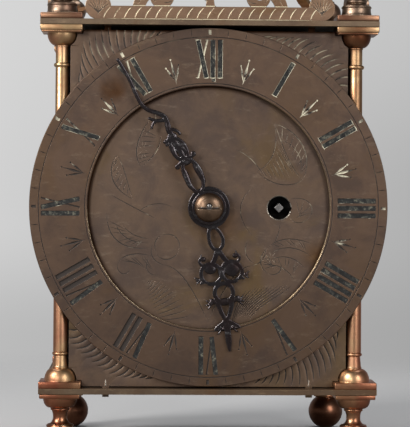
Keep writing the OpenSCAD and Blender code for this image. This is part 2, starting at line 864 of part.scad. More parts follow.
pillar_places = [for (x = [plate_left + corner_inset, plate_right - corner_inset],
                      z = [plate_low + corner_inset, plate_high - corner_inset]) [x, z]];
barrel_pivot_d = 5;
centre_pivot_d = 2.4;
pallet_arbor_d = 2;
hammer_arbor_d = 3;
minute_stud_d = 1.6;
click_at = barrel_at + [12, -14];
click_spring_at = barrel_at + [21, -4];
cock_feet = [[-17, 46], [17, 46]];

module movement_front_plate() {
    color(BRASS) at([0, 0]) sheet(front_plate_y, movement_plate_t) difference() {
        movement_sheet();
        translate(pallet_at) circle(d = pivot_d + 2 * running);
        translate(minute_wheel_at) circle(d = minute_stud_d + 2 * seated);
        translate(click_at) circle(d = screw_d + 2 * seated);
        translate(click_spring_at) circle(d = screw_d + 2 * seated);
    }
}

module movement_back_plate() {
    color(BRASS) at([0, 0]) sheet(back_inner_y, movement_plate_t) difference() {
        movement_sheet();
        translate(pallet_at) circle(d = pallet_arbor_d + 2);
        for (p = cock_feet) translate(p) circle(d = screw_d + 2 * seated);
    }
}

module movement_pillars() {
    color(BRASS) for (p = pillar_places) at(p) difference() {
        bar(movement_pillar_d, front_inner_y, back_inner_y);
        bar(screw_d + 2 * seated, front_inner_y - 1, front_inner_y + 8);
        bar(screw_d + 2 * seated, back_inner_y - 8, back_inner_y + 1);
    }
}

module seat_bracket(x, plate_face_y, dir) {
    translate([x, plate_face_y, floor_z]) difference() {
        union() {
            translate([-leg_w / 2 + 1, min(0, dir * bracket_t), 0]) cube([leg_w - 2, bracket_t, 13]);
            translate([-leg_w / 2 + 1, min(0, dir * (bracket_t + bracket_l)), 0])
                cube([leg_w - 2, bracket_t + bracket_l, bracket_t]);
        }
        translate([0, 0, seat_screw_z]) bar(screw_d + 2 * seated, -4, 4);
        translate([0, dir * (bracket_t + bracket_l / 2), -1])
            cylinder(d = screw_d + 2 * seated, h = bracket_t + 2);
    }
}

module seat_brackets() {
    color(STEEL) for (x = leg_x) {
        seat_bracket(x, front_inner_y, 1);
        seat_bracket(x, back_inner_y, -1);
    }
}

module movement_screws() {
    color(STEEL) {
        for (p = pillar_places) at(p) {
            translate([0, front_plate_y, 0]) rotate([90, 0, 0]) screw(movement_plate_t + 7);
            translate([0, back_plate_y, 0]) rotate([-90, 0, 0]) screw(movement_plate_t + 7);
        }
        for (x = leg_x) {
            translate([x, front_plate_y, floor_z + seat_screw_z]) rotate([90, 0, 0])
                screw(movement_plate_t + bracket_t);
            translate([x, back_plate_y, floor_z + seat_screw_z]) rotate([-90, 0, 0])
                screw(movement_plate_t + bracket_t);
            for (y = [bracket_screw_front_y, bracket_screw_back_y])
                translate([x, y, floor_z + bracket_t]) screw(bracket_t + plate_t);
        }
        for (p = cock_feet) at(p) translate([0, cock_y + cock_t, 0]) rotate([-90, 0, 0])
            screw(cock_t + cock_y - back_plate_y + movement_plate_t);
        at(click_spring_at) translate([0, front_plate_y - 1, 0]) rotate([90, 0, 0])
            screw(movement_plate_t + 1);
    }
}

// Mainspring barrel and its winding work

barrel_phase = 0;
arbor_core_r = 6.5;

module barrel() {
    back = barrel_wheel_y + barrel_wheel_t + drum_l;
    color(BRASS) at(barrel_at) {
        difference() {
            union() {
                sheet(barrel_wheel_y, barrel_wheel_t) teeth(barrel_n, barrel_m, WHEEL, barrel_phase);
                bar(2 * (barrel_inner_r + barrel_wall), barrel_wheel_y + 1, back);
            }
            bar(2 * barrel_inner_r, barrel_wheel_y + barrel_wheel_t, back + 1);
            bar(barrel_pivot_d + 2 * running, barrel_wheel_y - 1, back + 1);
        }
    }
}

module barrel_cap() {
    back = barrel_wheel_y + barrel_wheel_t + drum_l;
    color(BRASS) at(barrel_at) difference() {
        bar(2 * (barrel_inner_r + barrel_wall), back, back + cap_t);
        bar(barrel_pivot_d + 2 * running, back - 1, back + cap_t + 1);
    }
}

module barrel_arbor() {
    core_y = barrel_wheel_y + barrel_wheel_t + loose;
    core_end = barrel_wheel_y + barrel_wheel_t + drum_l - loose;
    square_y = dial_front_y + 1.2;
    color(STEEL) at(barrel_at) {
        bar(barrel_pivot_d, front_plate_y - 4.5, back_plate_y);
        bar(2 * arbor_core_r, core_y, core_end);
        translate([0, square_y, 0]) rotate([0, 45, 0])
            translate([-winding_square / 2, 0, -winding_square / 2])
                cube([winding_square, front_plate_y - 4 - square_y, winding_square]);
    }
}

module mainspring() {
    turns = 9;
    steps = 18;
    strip = 0.5;
    r0 = arbor_core_r + 0.6;
    r1 = barrel_inner_r - 0.5;
    path = [for (i = [0 : turns * steps]) let (a = 360 * i / steps, r = r0 + (r1 - r0) * i / (turns * steps))
        r * [cos(a), sin(a)]];
    color(STEEL) at(barrel_at)
        sheet(barrel_wheel_y + barrel_wheel_t + 1.2, drum_l - 2.4) polygon(band(path, strip, strip));
}

// Ratchet wheel with slanted teeth, on the winding arbor in front of the plate
module ratchet_wheel() {
    color(STEEL) at(barrel_at) sheet(ratchet_y, ratchet_t) difference() {
        polygon([for (k = [0 : ratchet_n - 1], e = [[0, 1], [0.85, 0.84]])
            let (a = (k + e[0]) * 360 / ratchet_n) e[1] * ratchet_r * [cos(a), sin(a)]]);
        circle(d = barrel_pivot_d + 2 * seated);
    }
}

click_tip = barrel_at + (ratchet_r + 0.35) * [cos(-75), sin(-75)];

module click() {
    u = (click_tip - click_at) / norm(click_tip - click_at);
    v = [-u[1], u[0]];
    color(STEEL) at([0, 0]) laid(ratchet_y, ratchet_t) difference() {
        union() {
            translate(click_at) cylinder(r = 3.2, h = ratchet_t);
            patch([click_at - 2.2 * v, click_tip, click_tip + 1.4 * v - 0.5 * u,
                   click_at + 2.8 * v], ratchet_t);
        }
        translate([click_at[0], click_at[1], -1])
            cylinder(d = click_shoulder_d + 2 * running, h = ratchet_t + 2);
    }
}

click_shoulder_d = 3;

module click_screw() {
    color(STEEL) at(click_at) {
        bar(click_shoulder_d, ratchet_y - 0.2, front_plate_y);
        translate([0, ratchet_y - 0.2, 0]) rotate([90, 0, 0]) difference() {
            cylinder(d = 5.4, h = 1.2);
            translate([-4, -0.35, 0.7]) cube([8, 0.7, 1]);
        }
        bar(screw_d, front_plate_y - 0.5, front_plate_y + movement_plate_t);
    }
}

// Bent strip that keeps the click down
module click_spring() {
    foot = click_spring_at;
    tip = click_at + [-3.4, -2.9];
    path = curve(foot, foot + [4, -9], click_at + [8, -7], tip, 8);
    color(STEEL) at([0, 0]) laid(front_plate_y - 1, 1) difference() {
        union() {
            translate(foot) cylinder(r = 2.8, h = 1);
            strip(path, 1.4, 0.7, 1);
        }
        translate([foot[0], foot[1], -1]) cylinder(d = screw_d + 2 * seated, h = 3);
    }
}

// Train

inter_phase = mesh_phase(heading(barrel_at, inter_at), barrel_phase, barrel_n, inter_pinion_n);
centre_phase = mesh_phase(heading(inter_at, centre_at), inter_phase, inter_n, centre_pinion_n);
third_phase = mesh_phase(heading(centre_at, third_at), centre_phase, centre_n, third_pinion_n);
escape_phase = mesh_phase(heading(third_at, escape_at), third_phase, third_n, escape_pinion_n);
minute_phase = mesh_phase(minute_wheel_angle, centre_phase, cannon_n, cannon_n);
hour_phase = mesh_phase(minute_wheel_angle + 180, minute_phase, hour_pinion_n, hour_n);

module intermediate_arbor() {
    color(STEEL) at(inter_at)
        pinion_arbor(arbor_d, barrel_wheel_y - pinion_extra / 2, barrel_wheel_t + pinion_extra,
                     inter_pinion_n, barrel_m, inter_phase);
}

module intermediate_wheel() {
    color(BRASS) at(inter_at) train_wheel(inter_wheel_y, inter_n, inter_m, inter_phase, arbor_d + 2 * seated);
}

module centre_arbor() {
    color(STEEL) at(centre_at) {
        difference() {
            bar(centre_pivot_d, collet_front_y + 0.6, front_inner_y + 0.5);
            collet_pin_bore();
        }
        bar(centre_arbor_d, front_inner_y + loose, back_inner_y - loose);
        bar(centre_pivot_d, back_inner_y - 0.5, back_plate_y);
        sheet(inter_wheel_y - pinion_extra / 2, wheel_t + pinion_extra)
            teeth(centre_pinion_n, inter_m, PINION, centre_phase);
    }
}

module centre_wheel() {
    color(BRASS) at(centre_at)
        train_wheel(centre_wheel_y, centre_n, centre_m, centre_phase, centre_arbor_d + 2 * seated);
}

module third_arbor() {
    color(STEEL) at(third_at)
        pinion_arbor(1.6, centre_wheel_y - pinion_extra / 2, wheel_t + pinion_extra,
                     third_pinion_n, centre_m, third_phase);
}

module third_wheel() {
    color(BRASS) at(third_at) train_wheel(third_wheel_y, third_n, third_m, third_phase, 1.6 + 2 * seated);
}

module escape_arbor() {
    color(STEEL) at(escape_at)
        pinion_arbor(1.6, third_wheel_y - pinion_extra / 2, wheel_t + pinion_extra,
                     escape_pinion_n, third_m, escape_phase);
}

module escape_wheel() {
    color(BRASS) at(escape_at) sheet(escape_wheel_y, 1) difference() {
        polygon([for (k = [0 : escape_n - 1], e = [[0, 1], [0.42, 0.9], [0.8, 0.88]])
            let (a = (k + e[0]) * 360 / escape_n) e[1] * escape_r * [cos(a), sin(a)]]);
        circle(d = 1.6 + 2 * seated);
        for (k = [0 : 4]) rotate(72 * k) arm_gap(3, escape_r * 0.88 - 1.4, 1.6);
    }
}

// Motion work behind the dial

cannon_tube_d = 4.4;
hour_tube_d = 8;

module cannon_pinion() {
    color(BRASS) at(centre_at) difference() {
        union() {
            sheet(cannon_wheel_y, motion_wheel_t) teeth(cannon_n, cannon_m, EQUAL, centre_phase);
            bar(cannon_tube_d, minute_hand_y + 0.1, front_plate_y - loose);
            bar(cannon_tube_d + 3, cannon_wheel_y + 1, front_plate_y - loose);
        }
        bar(centre_pivot_d + 2 * seated, minute_hand_y - 1, front_plate_y + 1);
    }
}

lift_pin_r = 9.2;
lift_pin_d = 1.5;
lift_pin_phase = 250;

module minute_wheel() {
    color(BRASS) at(minute_wheel_at) {
        difference() {
            union() {
                sheet(cannon_wheel_y, motion_wheel_t) teeth(cannon_n, cannon_m, EQUAL, minute_phase);
                sheet(hour_wheel_y - 0.5, cannon_wheel_y - hour_wheel_y + 1)
                    teeth(hour_pinion_n, hour_m, PINION, minute_phase);
            }
            bar(minute_stud_d + 2 * running, hour_wheel_y - 2, front_plate_y + 1);
        }
        translate(lift_pin_r * [cos(lift_pin_phase), 0, sin(lift_pin_phase)])
            bar(lift_pin_d, cannon_wheel_y + 1, front_plate_y - 1.1);
    }
}

module minute_stud() {
    color(STEEL) at(minute_wheel_at) {
        bar(minute_stud_d, hour_wheel_y - 1.2, front_plate_y + movement_plate_t);
        bar(minute_stud_d + 1.6, cannon_wheel_y + motion_wheel_t + 0.2, front_plate_y);
    }
}

module hour_wheel() {
    rim = hour_n * hour_m / 2 - 3;
    color(BRASS) at(centre_at) difference() {
        union() {
            sheet(hour_wheel_y, wheel_t) teeth(hour_n, hour_m, WHEEL, hour_phase);
            bar(hour_tube_d, hour_hand_y + 0.05, hour_wheel_y + wheel_t + 1);
        }
        bar(cannon_tube_d + 2 * running, hour_hand_y - 1, hour_wheel_y + wheel_t + 2);
        for (k = [0 : 4]) sheet(hour_wheel_y - 1, wheel_t + 2)
            rotate(72 * k) arm_gap(hour_tube_d / 2 + 2, rim, 3);
    }
}

// Hands, drawn pointing up: x to the right of the hand, y along it

module hour_hand_plies(t) {
    boss_r = 11.3;
    knot = 33;
    eye = 43;
    fork = 57.5;
    difference() {
        union() {
            cylinder(r = boss_r, h = t);
            oval(0, 16.2, 4.3, 6.2, 1.7, t);
            both() {
                strip(curve([0, 21], [1.5, 24], [2, 26], [4.4, 28.8], 5), 2.4, 2.2, t);
                translate([5.2, knot, 0]) hoop(5.9, 1.7, t);
                strip(curve([7.6, 29], [10.5, 28], [11, 25.5], [8.4, 24.2], 5), 1.6, 1.1, t);
                translate([8.2, 24, 0]) cylinder(r = 1.1, h = t);
                strip(curve([9.2, 36], [11.4, 37.6], [11.6, 39.6], [9.6, 40.4], 5), 1.6, 1.1, t);
                translate([9.4, 40.4, 0]) cylinder(r = 1.1, h = t);
                strip(curve([3.2, 46], [6.4, 47], [8.4, 47.5], [8.6, 50.2], 5), 2.2, 1.2, t);
                translate([8.5, 50.6, 0]) cylinder(r = 1.2, h = t);
                strip(curve([3.6, 46.4], [3.4, 51], [1.6, 54], [0.2, fork], 6), 2.4, 1.8, t);
                strip(curve([0.5, 57], [2.4, 59.4], [6, 59], [6.4, 62.4], 6), 2.2, 1.1, t);
                translate([6.2, 62.8, 0]) cylinder(r = 1.1, h = t);
            }
            translate([0, eye, 0]) hoop(5.6, 2, t);
            patch([[-1.6, 56], [1.6, 56], [1.45, hour_hand_l - 5], [0.5, hour_hand_l],
                   [-0.5, hour_hand_l], [-1.45, hour_hand_l - 5]], t);
        }
        translate([0, 0, -1]) cylinder(d = hour_tube_d + 2 * seated, h = t + 2);
    }
}

module minute_hand_plies(t) {
    boss_r = 9.1;
    spine = concat(
        curve([0.6, 25], [0.2, 34], [1, 40], [2.9, 45], 6),
        curve([3.5, 47.5], [4.3, 50], [2.5, 52], [0.4, 54.6], 4),
        curve([-1.2, 56.5], [-2.6, 58.8], [-3.1, 61], [-2.2, 64.5], 4),
        curve([-1.4, 68], [-0.4, 72], [-0.1, 76], [0, minute_hand_l], 5)
    );
    difference() {
        union() {
            cylinder(r = boss_r, h = t);
            oval(0.6, 18, 4.9, 9.2, 1.7, t);
            oval(0.8, 32.4, 4.1, 7, 1.6, t);
            strip([[-4.4, 25.6], [-1.5, 26.3], [2.4, 25.8], [5.6, 26.6]], 1.4, 1.4, t);
            translate([-4.4, 25.4, 0]) cylinder(r = 1.1, h = t);
            translate([5.6, 26.8, 0]) cylinder(r = 1.1, h = t);
            strip(spine, 2.2, 1.2, t);
            strip(curve([2.6, 48.6], [0.5, 49.4], [-2.4, 50.6], [-3.6, 53.6], 5), 1.6, 0.9, t);
            strip(curve([-1.2, 50.4], [-3.2, 50.2], [-4.4, 49.4], [-5, 48.2], 4), 1.1, 0.8, t);
            strip(curve([1.4, 41], [-0.6, 39.6], [-2.4, 39], [-3.4, 37], 4), 1.5, 0.9, t);
            strip(curve([2.4, 43.4], [4.6, 42], [5.6, 40.4], [5.4, 38.4], 4), 1.4, 0.9, t);
        }
        translate([0, 0, -1]) cylinder(d = cannon_tube_d + 2 * seated, h = t + 2);
    }
}

module hour_hand() {
    color(BLUED) at(centre_at) laid(hour_hand_y, hand_t) rotate(-hour_hand_angle) hour_hand_plies(hand_t);
}

module minute_hand() {
    color(BLUED) at(centre_at) laid(minute_hand_y, hand_t) rotate(-minute_hand_angle)
        minute_hand_plies(hand_t);
}

collet_r = 7.3;
collet_pin_d = 1;
collet_pin_l = 8.4;
collet_pin_drop = 3.2;

module hand_collet() {
    color(BRASS) at(centre_at) difference() {
        facing_front(minute_hand_y) turned(concat(
            [[0, 0]],
            dome(collet_r, 0.4, 1.2, minute_hand_y - collet_front_y, 10),
            [[0, minute_hand_y - collet_front_y]]
        ));
        bar(centre_pivot_d + 2 * seated, collet_front_y - 1, minute_hand_y + 1);
        collet_pin_bore();
    }
}

// Hole for the pin that holds the collet on the arbor
module collet_pin_bore() {
    translate([-collet_r, minute_hand_y - collet_pin_drop, 0]) rotate([0, 90, 0])
        cylinder(d = collet_pin_d + 2 * seated, h = 2 * collet_r);
}

module collet_pin() {
    color(STEEL) at(centre_at) translate([-collet_pin_l / 2, minute_hand_y - collet_pin_drop, 0])
        rotate([0, 90, 0]) cylinder(d = collet_pin_d, h = collet_pin_l);
}

// Escapement and pendulum

module pallet_arbor() {
    color(STEEL) at(pallet_at) {
        bar(pivot_d, front_plate_y, front_inner_y + 0.4);
        bar(pallet_arbor_d, front_inner_y + loose, cock_y - loose);
        bar(pivot_d, cock_y - 0.5, cock_y + cock_t);
    }
}

pallet_gap = 0.8;

module anchor() {
    reach = 35.5;
    tip = (escape_r + pallet_gap) * [sin(reach), cos(reach)] - [0, pallet_drop];
    color(STEEL) at(pallet_at) laid(escape_wheel_y - 0.5, 2) difference() {
        union() {
            cylinder(r = 2.8, h = 2);
            both() patch([[0, 2.2], [7, -1.2], [tip[0] + 2.4, tip[1] + 0.8], tip + [0.9, 0.1], tip,
                          tip + [0.1, 1.4], [5.6, -3.2], [0, -1.2]], 2);
        }
        translate([0, 0, -1]) cylinder(d = pallet_arbor_d + 2 * seated, h = 4);
    }
}

module back_cock() {
    color(BRASS) at([0, 0]) difference() {
        union() {
            sheet(cock_y, cock_t) polygon([[-22, 41], [22, 41], [22, 51], [8, 51], [5, 56], [-5, 56],
                                           [-8, 51], [-22, 51]]);
            for (p = cock_feet) translate([p[0], 0, p[1]]) bar(7, back_plate_y, cock_y + 1);
        }
        for (p = cock_feet) translate([p[0], 0, p[1]])
            bar(screw_d + 2 * seated, back_plate_y - 1, cock_y + cock_t + 1);
        translate([pallet_at[0], 0, pallet_at[1]])
            bar(pivot_d + 2 * running, cock_y - 1, cock_y + cock_t + 1);
    }
}

rod_d = 1.8;
bob_travel = 5;

module pendulum_rod() {
    color(STEEL) at(pallet_at) {
        difference() {
            bar(6, pendulum_y - 2, pendulum_y + 2);
            bar(pallet_arbor_d + 2 * seated, pendulum_y - 3, pendulum_y + 3);
        }
        translate([0, pendulum_y, -pendulum_l - bob_r - bob_travel - 3])
            cylinder(d = rod_d, h = pendulum_l + bob_r + bob_travel + 3 - 2);
    }
}

module pendulum_bob() {
    color(BRASS) at(pallet_at) translate([0, pendulum_y, -pendulum_l]) difference() {
        turned(concat(
            [for (i = [0 : 12]) let (a = -80 + 110 * i / 12) [bob_r * cos(a), bob_r * sin(a)]],
            cove(0.74 * bob_r, 0.62 * bob_r, 2, 1.45 * bob_r, 6),
            [[0, 1.45 * bob_r], [0, -bob_r * sin(80)]]
        ));
        translate([0, 0, -2 * bob_r]) cylinder(d = rod_d + 2 * running, h = 4 * bob_r);
    }
}

// Passing strike: a pin on the minute wheel lifts the tail and the hammer falls on the bell

hammer_y = -20;
hammer_stem_t = 1.6;
hammer_slot_x = [6, 26];
tail_y = front_plate_y - 2.6;
tail_t = 1.2;

module hammer() {
    head_r = 4.2;
    rim_r = bell_d / 2 - bell_t - 3;
    head_x = -sqrt(pow(rim_r - head_r - 1, 2) - hammer_y * hammer_y);
    head_z = lip_z - dial_z + 4;
    deck = deck_z - dial_z;
    stem = concat(
        curve(hammer_at + [-1, 1], hammer_at + [-2, 18], [17, deck - 14], [12.4, deck + 2], 6),
        curve([11, deck + 4.4], [7, deck + 10], [0, deck + 18], [-12, deck + 25], 6),
        curve([-16, deck + 27], [-30, deck + 33], [head_x + 8, head_z - 3], [head_x, head_z], 5)
    );
    tail_end = minute_wheel_at + (lift_pin_r + lift_pin_d / 2 + 0.5) * [cos(15), sin(15)];
    color(STEEL) {
        at(hammer_at) {
            bar(pivot_d, back_inner_y - 0.4, back_plate_y);
            bar(hammer_arbor_d, front_inner_y + loose, back_inner_y - loose);
            bar(pivot_d, tail_y - 0.4, front_inner_y + 0.5);
        }
        at([0, 0]) {
            laid(hammer_y - hammer_stem_t / 2, hammer_stem_t) {
                translate(hammer_at) cylinder(r = 3.4, h = hammer_stem_t);
                strip(stem, 2, 1.3, hammer_stem_t);
            }
            laid(tail_y, tail_t) {
                translate(hammer_at) cylinder(r = 2.8, h = tail_t);
                strip(curve(hammer_at, hammer_at + [-8, 0], tail_end + [9, 4], tail_end, 6),
                      2.6, 1.4, tail_t);
            }
            translate([head_x, hammer_y, head_z]) rotate([0, -60, 0]) translate([0, 0, -5])
                turned(concat([[0, 0], [head_r - 1.4, 0]],
                    [for (i = [0 : 10]) let (a = -60 + 120 * i / 10)
                        [head_r - 2 + 2 * cos(a), 4.4 + 5 * sin(a)]],
                    [[head_r - 1.4, 9], [0, 9]]));
        }
    }
}

// Leaf spring that brings the hammer back, fixed between the plates
module hammer_spring() {
    foot = [plate_right - corner_inset, plate_high - corner_inset];
    path = curve(foot + [-2, 3.6], foot + [-8, 16], hammer_at + [14, 30], hammer_at + [2.2, 24], 8);
    color(STEEL) at([0, 0]) laid(hammer_y - 1.5, 3) difference() {
        union() {
            translate(foot) cylinder(d = movement_pillar_d + 3, h = 3);
            strip(path, 1.4, 0.6, 3);
        }
        translate([foot[0], foot[1], -1]) cylinder(d = movement_pillar_d + 2 * seated, h = 5);
    }
}

bottom_plate();
top_plate();
corner_pillars();
ball_feet();
corner_finials();
front_fret();
left_fret();
right_fret();
fret_screws();
bell_strap();
bell();
bell_stud();
bell_nut();
top_finial();
dial_plate();
chapter_ring();
ring_pins();
left_door();
right_door();
left_door_knob();
right_door_knob();
back_panel();
back_panel_knob();
movement_front_plate();
movement_back_plate();
movement_pillars();
seat_brackets();
movement_screws();
barrel();
barrel_cap();
barrel_arbor();
mainspring();
ratchet_wheel();
click();
click_screw();
click_spring();
intermediate_arbor();
intermediate_wheel();
centre_arbor();
centre_wheel();
third_arbor();
third_wheel();
escape_arbor();
escape_wheel();
cannon_pinion();
minute_wheel();
minute_stud();
hour_wheel();
hour_hand();
minute_hand();
hand_collet();
collet_pin();
pallet_arbor();
anchor();
back_cock();
pendulum_rod();
pendulum_bob();
hammer();
hammer_spring();
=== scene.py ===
import math

import bmesh
import bpy
from mathutils import Euler, Matrix, Vector


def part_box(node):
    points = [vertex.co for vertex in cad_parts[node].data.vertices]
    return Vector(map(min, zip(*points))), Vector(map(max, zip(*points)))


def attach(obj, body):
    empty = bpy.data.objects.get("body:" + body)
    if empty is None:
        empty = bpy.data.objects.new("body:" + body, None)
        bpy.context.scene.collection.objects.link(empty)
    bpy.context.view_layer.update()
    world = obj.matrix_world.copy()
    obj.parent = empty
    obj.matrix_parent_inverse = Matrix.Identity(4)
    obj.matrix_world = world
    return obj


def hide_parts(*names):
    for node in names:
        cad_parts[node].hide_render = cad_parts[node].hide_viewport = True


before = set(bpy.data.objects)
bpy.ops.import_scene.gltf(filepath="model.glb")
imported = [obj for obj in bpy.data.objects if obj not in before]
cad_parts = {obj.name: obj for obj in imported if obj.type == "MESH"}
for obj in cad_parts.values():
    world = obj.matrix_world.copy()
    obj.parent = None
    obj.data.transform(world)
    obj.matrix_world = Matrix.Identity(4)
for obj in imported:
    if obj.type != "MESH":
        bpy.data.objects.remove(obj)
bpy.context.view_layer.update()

# The camera stands where the photograph's did: 0.95 m in front of the chapter ring, a little to the
# left of the middle and 9 mm above the dial's centre, turned 1.8 degrees right and tipped 0.7 down.
mm = 0.001
ring_low, ring_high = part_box("chapter_ring")
dial_z = (ring_low.z + ring_high.z) / 2


def placed(name, data):
    """A new object in the scene that shows a camera, a lamp, a curve or a mesh."""
    made = bpy.data.objects.new(name, data)
    bpy.context.scene.collection.objects.link(made)
    return made


lens = bpy.data.cameras.new("photograph_lens")
lens.lens = 161
lens.sensor_width = 36
lens.clip_start = 0.05
lens.clip_end = 20
camera = placed("photograph_camera", lens)
bpy.context.scene.camera = camera
camera.location = (-31.8 * mm, ring_low.y - 952 * mm, dial_z + 8.7 * mm)
camera.rotation_euler = Euler((math.radians(90 - 0.705), 0, math.radians(-1.8)))
camera.rotation_euler.rotate_axis("Z", math.radians(0.4))

# The studio: a pale round floor that fades into a grey backdrop, lighter on the left. Two large soft
# boxes stand left and right, a small lamp near the camera, and a weak one hangs behind for the rim.
view = bpy.context.scene.view_settings
view.view_transform = "Standard"


def add_node(tree, kind, links=None, **settings):
    """A shader node with its settings; each input is set to a value or linked to an output."""
    made = tree.nodes.new("ShaderNode" + kind)
    for name, value in settings.items():
        setattr(made, name, value)
    for place, value in (links or {}).items():
        if isinstance(value, bpy.types.NodeSocket):
            tree.links.new(value, made.inputs[place])
        else:
            made.inputs[place].default_value = value
    return made


def ramp(tree, factor, stops, ease="LINEAR"):
    """A colour ramp; each stop is a position and a grey level or a colour."""
    made = add_node(tree, "ValToRGB", {"Fac": factor})
    made.color_ramp.interpolation = ease
    keys = made.color_ramp.elements
    while len(keys) < len(stops):
        keys.new(0.5)
    for key, (place, shade) in zip(keys, stops):
        key.position = place
        key.color = (shade, shade, shade, 1) if isinstance(shade, (int, float)) else (*shade, 1)
    return made.outputs["Color"]


def ranged(tree, value, low, high, to_low=0.0, to_high=1.0, ease="LINEAR"):
    """How far a value is on its way from low to high, told from to_low to to_high."""
    return add_node(tree, "MapRange", {
        "Value": value, "From Min": low, "From Max": high, "To Min": to_low, "To Max": to_high},
        interpolation_type=ease).outputs["Result"]


def maths(tree, operation, *terms):
    """A sum on numbers, such as MULTIPLY."""
    return add_node(tree, "Math", dict(enumerate(terms)), operation=operation).outputs[0]


def measured(tree, operation, *places):
    """A number from places: their DISTANCE, LENGTH or DOT_PRODUCT."""
    return add_node(tree, "VectorMath", dict(enumerate(places)), operation=operation).outputs["Value"]


def mixed(tree, amount, one, other, way="MIX"):
    """Two colours, each of them given or an output, mixed by an amount."""
    one, other = ((*c, 1) if isinstance(c, tuple) else c for c in (one, other))
    return add_node(tree, "Mix", {0: amount, 6: one, 7: other}, data_type="RGBA", blend_type=way).outputs[2]


studio = bpy.data.worlds.new("grey_studio")
studio.use_nodes = True
bpy.context.scene.world = studio
air = studio.node_tree
air.nodes.clear()
gaze = add_node(air, "TexCoord").outputs["Generated"]
gaze_x, gaze_y, gaze_z = add_node(air, "SeparateXYZ", {0: gaze}).outputs
rightward = ranged(air, gaze_x, -0.09, 0.14)
upward = ranged(air, gaze_z, -0.13, 0.1)
left_grey = ramp(air, upward, [(0.0, 0.40), (0.22, 0.50), (0.5, 0.64), (1.0, 0.675)], "EASE")
right_grey = ramp(air, upward, [(0.0, 0.36), (0.22, 0.38), (0.5, 0.44), (1.0, 0.55)], "EASE")
room_grey = ramp(air, ranged(air, gaze_y, -1.0, 0.6),
                 [(0.0, 0.30), (0.18, 0.62), (0.42, 0.50), (0.66, 0.14), (1.0, 0.45)])
room_height = ramp(air, ranged(air, gaze_z, -1.0, 1.0),
                   [(0.0, 0.45), (0.42, 1.0), (0.57, 0.82), (0.74, 0.42), (1.0, 0.20)])
room_light = mixed(air, 1.0, room_grey, room_height, "MULTIPLY")
shown = add_node(air, "Background", {
    "Color": mixed(air, rightward, left_grey, right_grey), "Strength": 1.0})
mirrored = add_node(air, "Background", {"Color": room_light, "Strength": 0.72})
soft_fill = add_node(air, "Background", {"Color": (0.94, 0.97, 1.0, 1), "Strength": 0.28})
rays = add_node(air, "LightPath").outputs
seen_in_metal = add_node(air, "MixShader", {
    0: rays["Is Glossy Ray"], 1: soft_fill.outputs[0], 2: mirrored.outputs[0]})
direct = maths(air, "MAXIMUM", rays["Is Camera Ray"], rays["Is Transmission Ray"])
all_rays = add_node(air, "MixShader", {0: direct, 1: seen_in_metal.outputs[0], 2: shown.outputs[0]})
add_node(air, "OutputWorld", {"Surface": all_rays.outputs[0]})


def soft_box(name, place, aim, size, power, tint=(1, 1, 1)):
    """A rectangular studio lamp that points at a place on the clock."""
    lamp = bpy.data.lights.new(name, "AREA")
    lamp.shape = "RECTANGLE"
    lamp.size, lamp.size_y = size
    lamp.energy = power
    lamp.color = tint
    stand = placed(name, lamp)
    stand.location = place
    stand.rotation_euler = (Vector(aim) - Vector(place)).to_track_quat("-Z", "Y").to_euler()


soft_box("left_soft_box", (-1.05, -0.75, 0.85), (0, 0, 0.15), (0.5, 0.7), 20, (1.0, 0.98, 0.95))
soft_box("right_soft_box", (0.80, -1.30, 0.60), (0, 0, 0.13), (0.6, 0.8), 8, (1.0, 0.98, 0.96))
soft_box("small_front_lamp", (-0.70, -1.55, 0.50), (0, 0, 0.13), (0.3, 0.3), 5, (1.0, 0.97, 0.93))
soft_box("top_soft_box", (0.0, 0.35, 1.3), (0, 0, 0.2), (1.0, 0.8), 9)


def mesh_of(name, net):
    """A mesh of that name from a bmesh, which is then done with."""
    mesh = bpy.data.meshes.new(name)
    net.to_mesh(mesh)
    net.free()
    return mesh


def bare_material(name):
    """A new material and its empty node tree."""
    material = bpy.data.materials.new(name)
    material.use_nodes = True
    material.node_tree.nodes.clear()
    return material, material.node_tree


floor_net = bmesh.new()
bmesh.ops.create_circle(floor_net, cap_ends=True, segments=96, radius=1.6)
floor = placed("pale_floor", mesh_of("pale_floor", floor_net))

paper, sheet = bare_material("pale_paper")
spot = add_node(sheet, "TexCoord").outputs["Object"]
fade = ranged(sheet, measured(sheet, "LENGTH", spot), 0.22, 0.62, ease="SMOOTHSTEP")
in_metal = add_node(sheet, "LightPath").outputs["Is Glossy Ray"]
# The floor is pale to the camera but painted darker where metal reflects it: a painted shade in its
# reflections.
paper_grey_and_reflected_shade = mixed(sheet, in_metal, (0.45, 0.45, 0.455), (0.19, 0.18, 0.17))
matt = add_node(sheet, "BsdfDiffuse", {"Color": paper_grey_and_reflected_shade})
gone = add_node(sheet, "BsdfTransparent")
faded = add_node(sheet, "MixShader", {0: fade, 1: matt.outputs[0], 2: gone.outputs[0]})
add_node(sheet, "OutputMaterial", {"Surface": faded.outputs[0]})
floor.data.materials.append(paper)

# Ball feet: cast brass, turned to a ball under a flared neck, a cup and a small square block. A
# spigot on each pillar goes down through the bottom plate and is riveted into its foot.
foot_h = 35.5
block_w = 21
half = 73.75


def noise(tree, place, scale, detail, roughness, distortion=0.0):
    """Cloudy noise in a material."""
    return add_node(tree, "TexNoise", {
        "Vector": place, "Scale": scale, "Detail": detail, "Roughness": roughness,
        "Distortion": distortion}).outputs["Fac"]


def coat(tree, inputs):
    """The surface of a material."""
    skin = add_node(tree, "BsdfPrincipled", inputs)
    add_node(tree, "OutputMaterial", {"Surface": skin.outputs[0]})


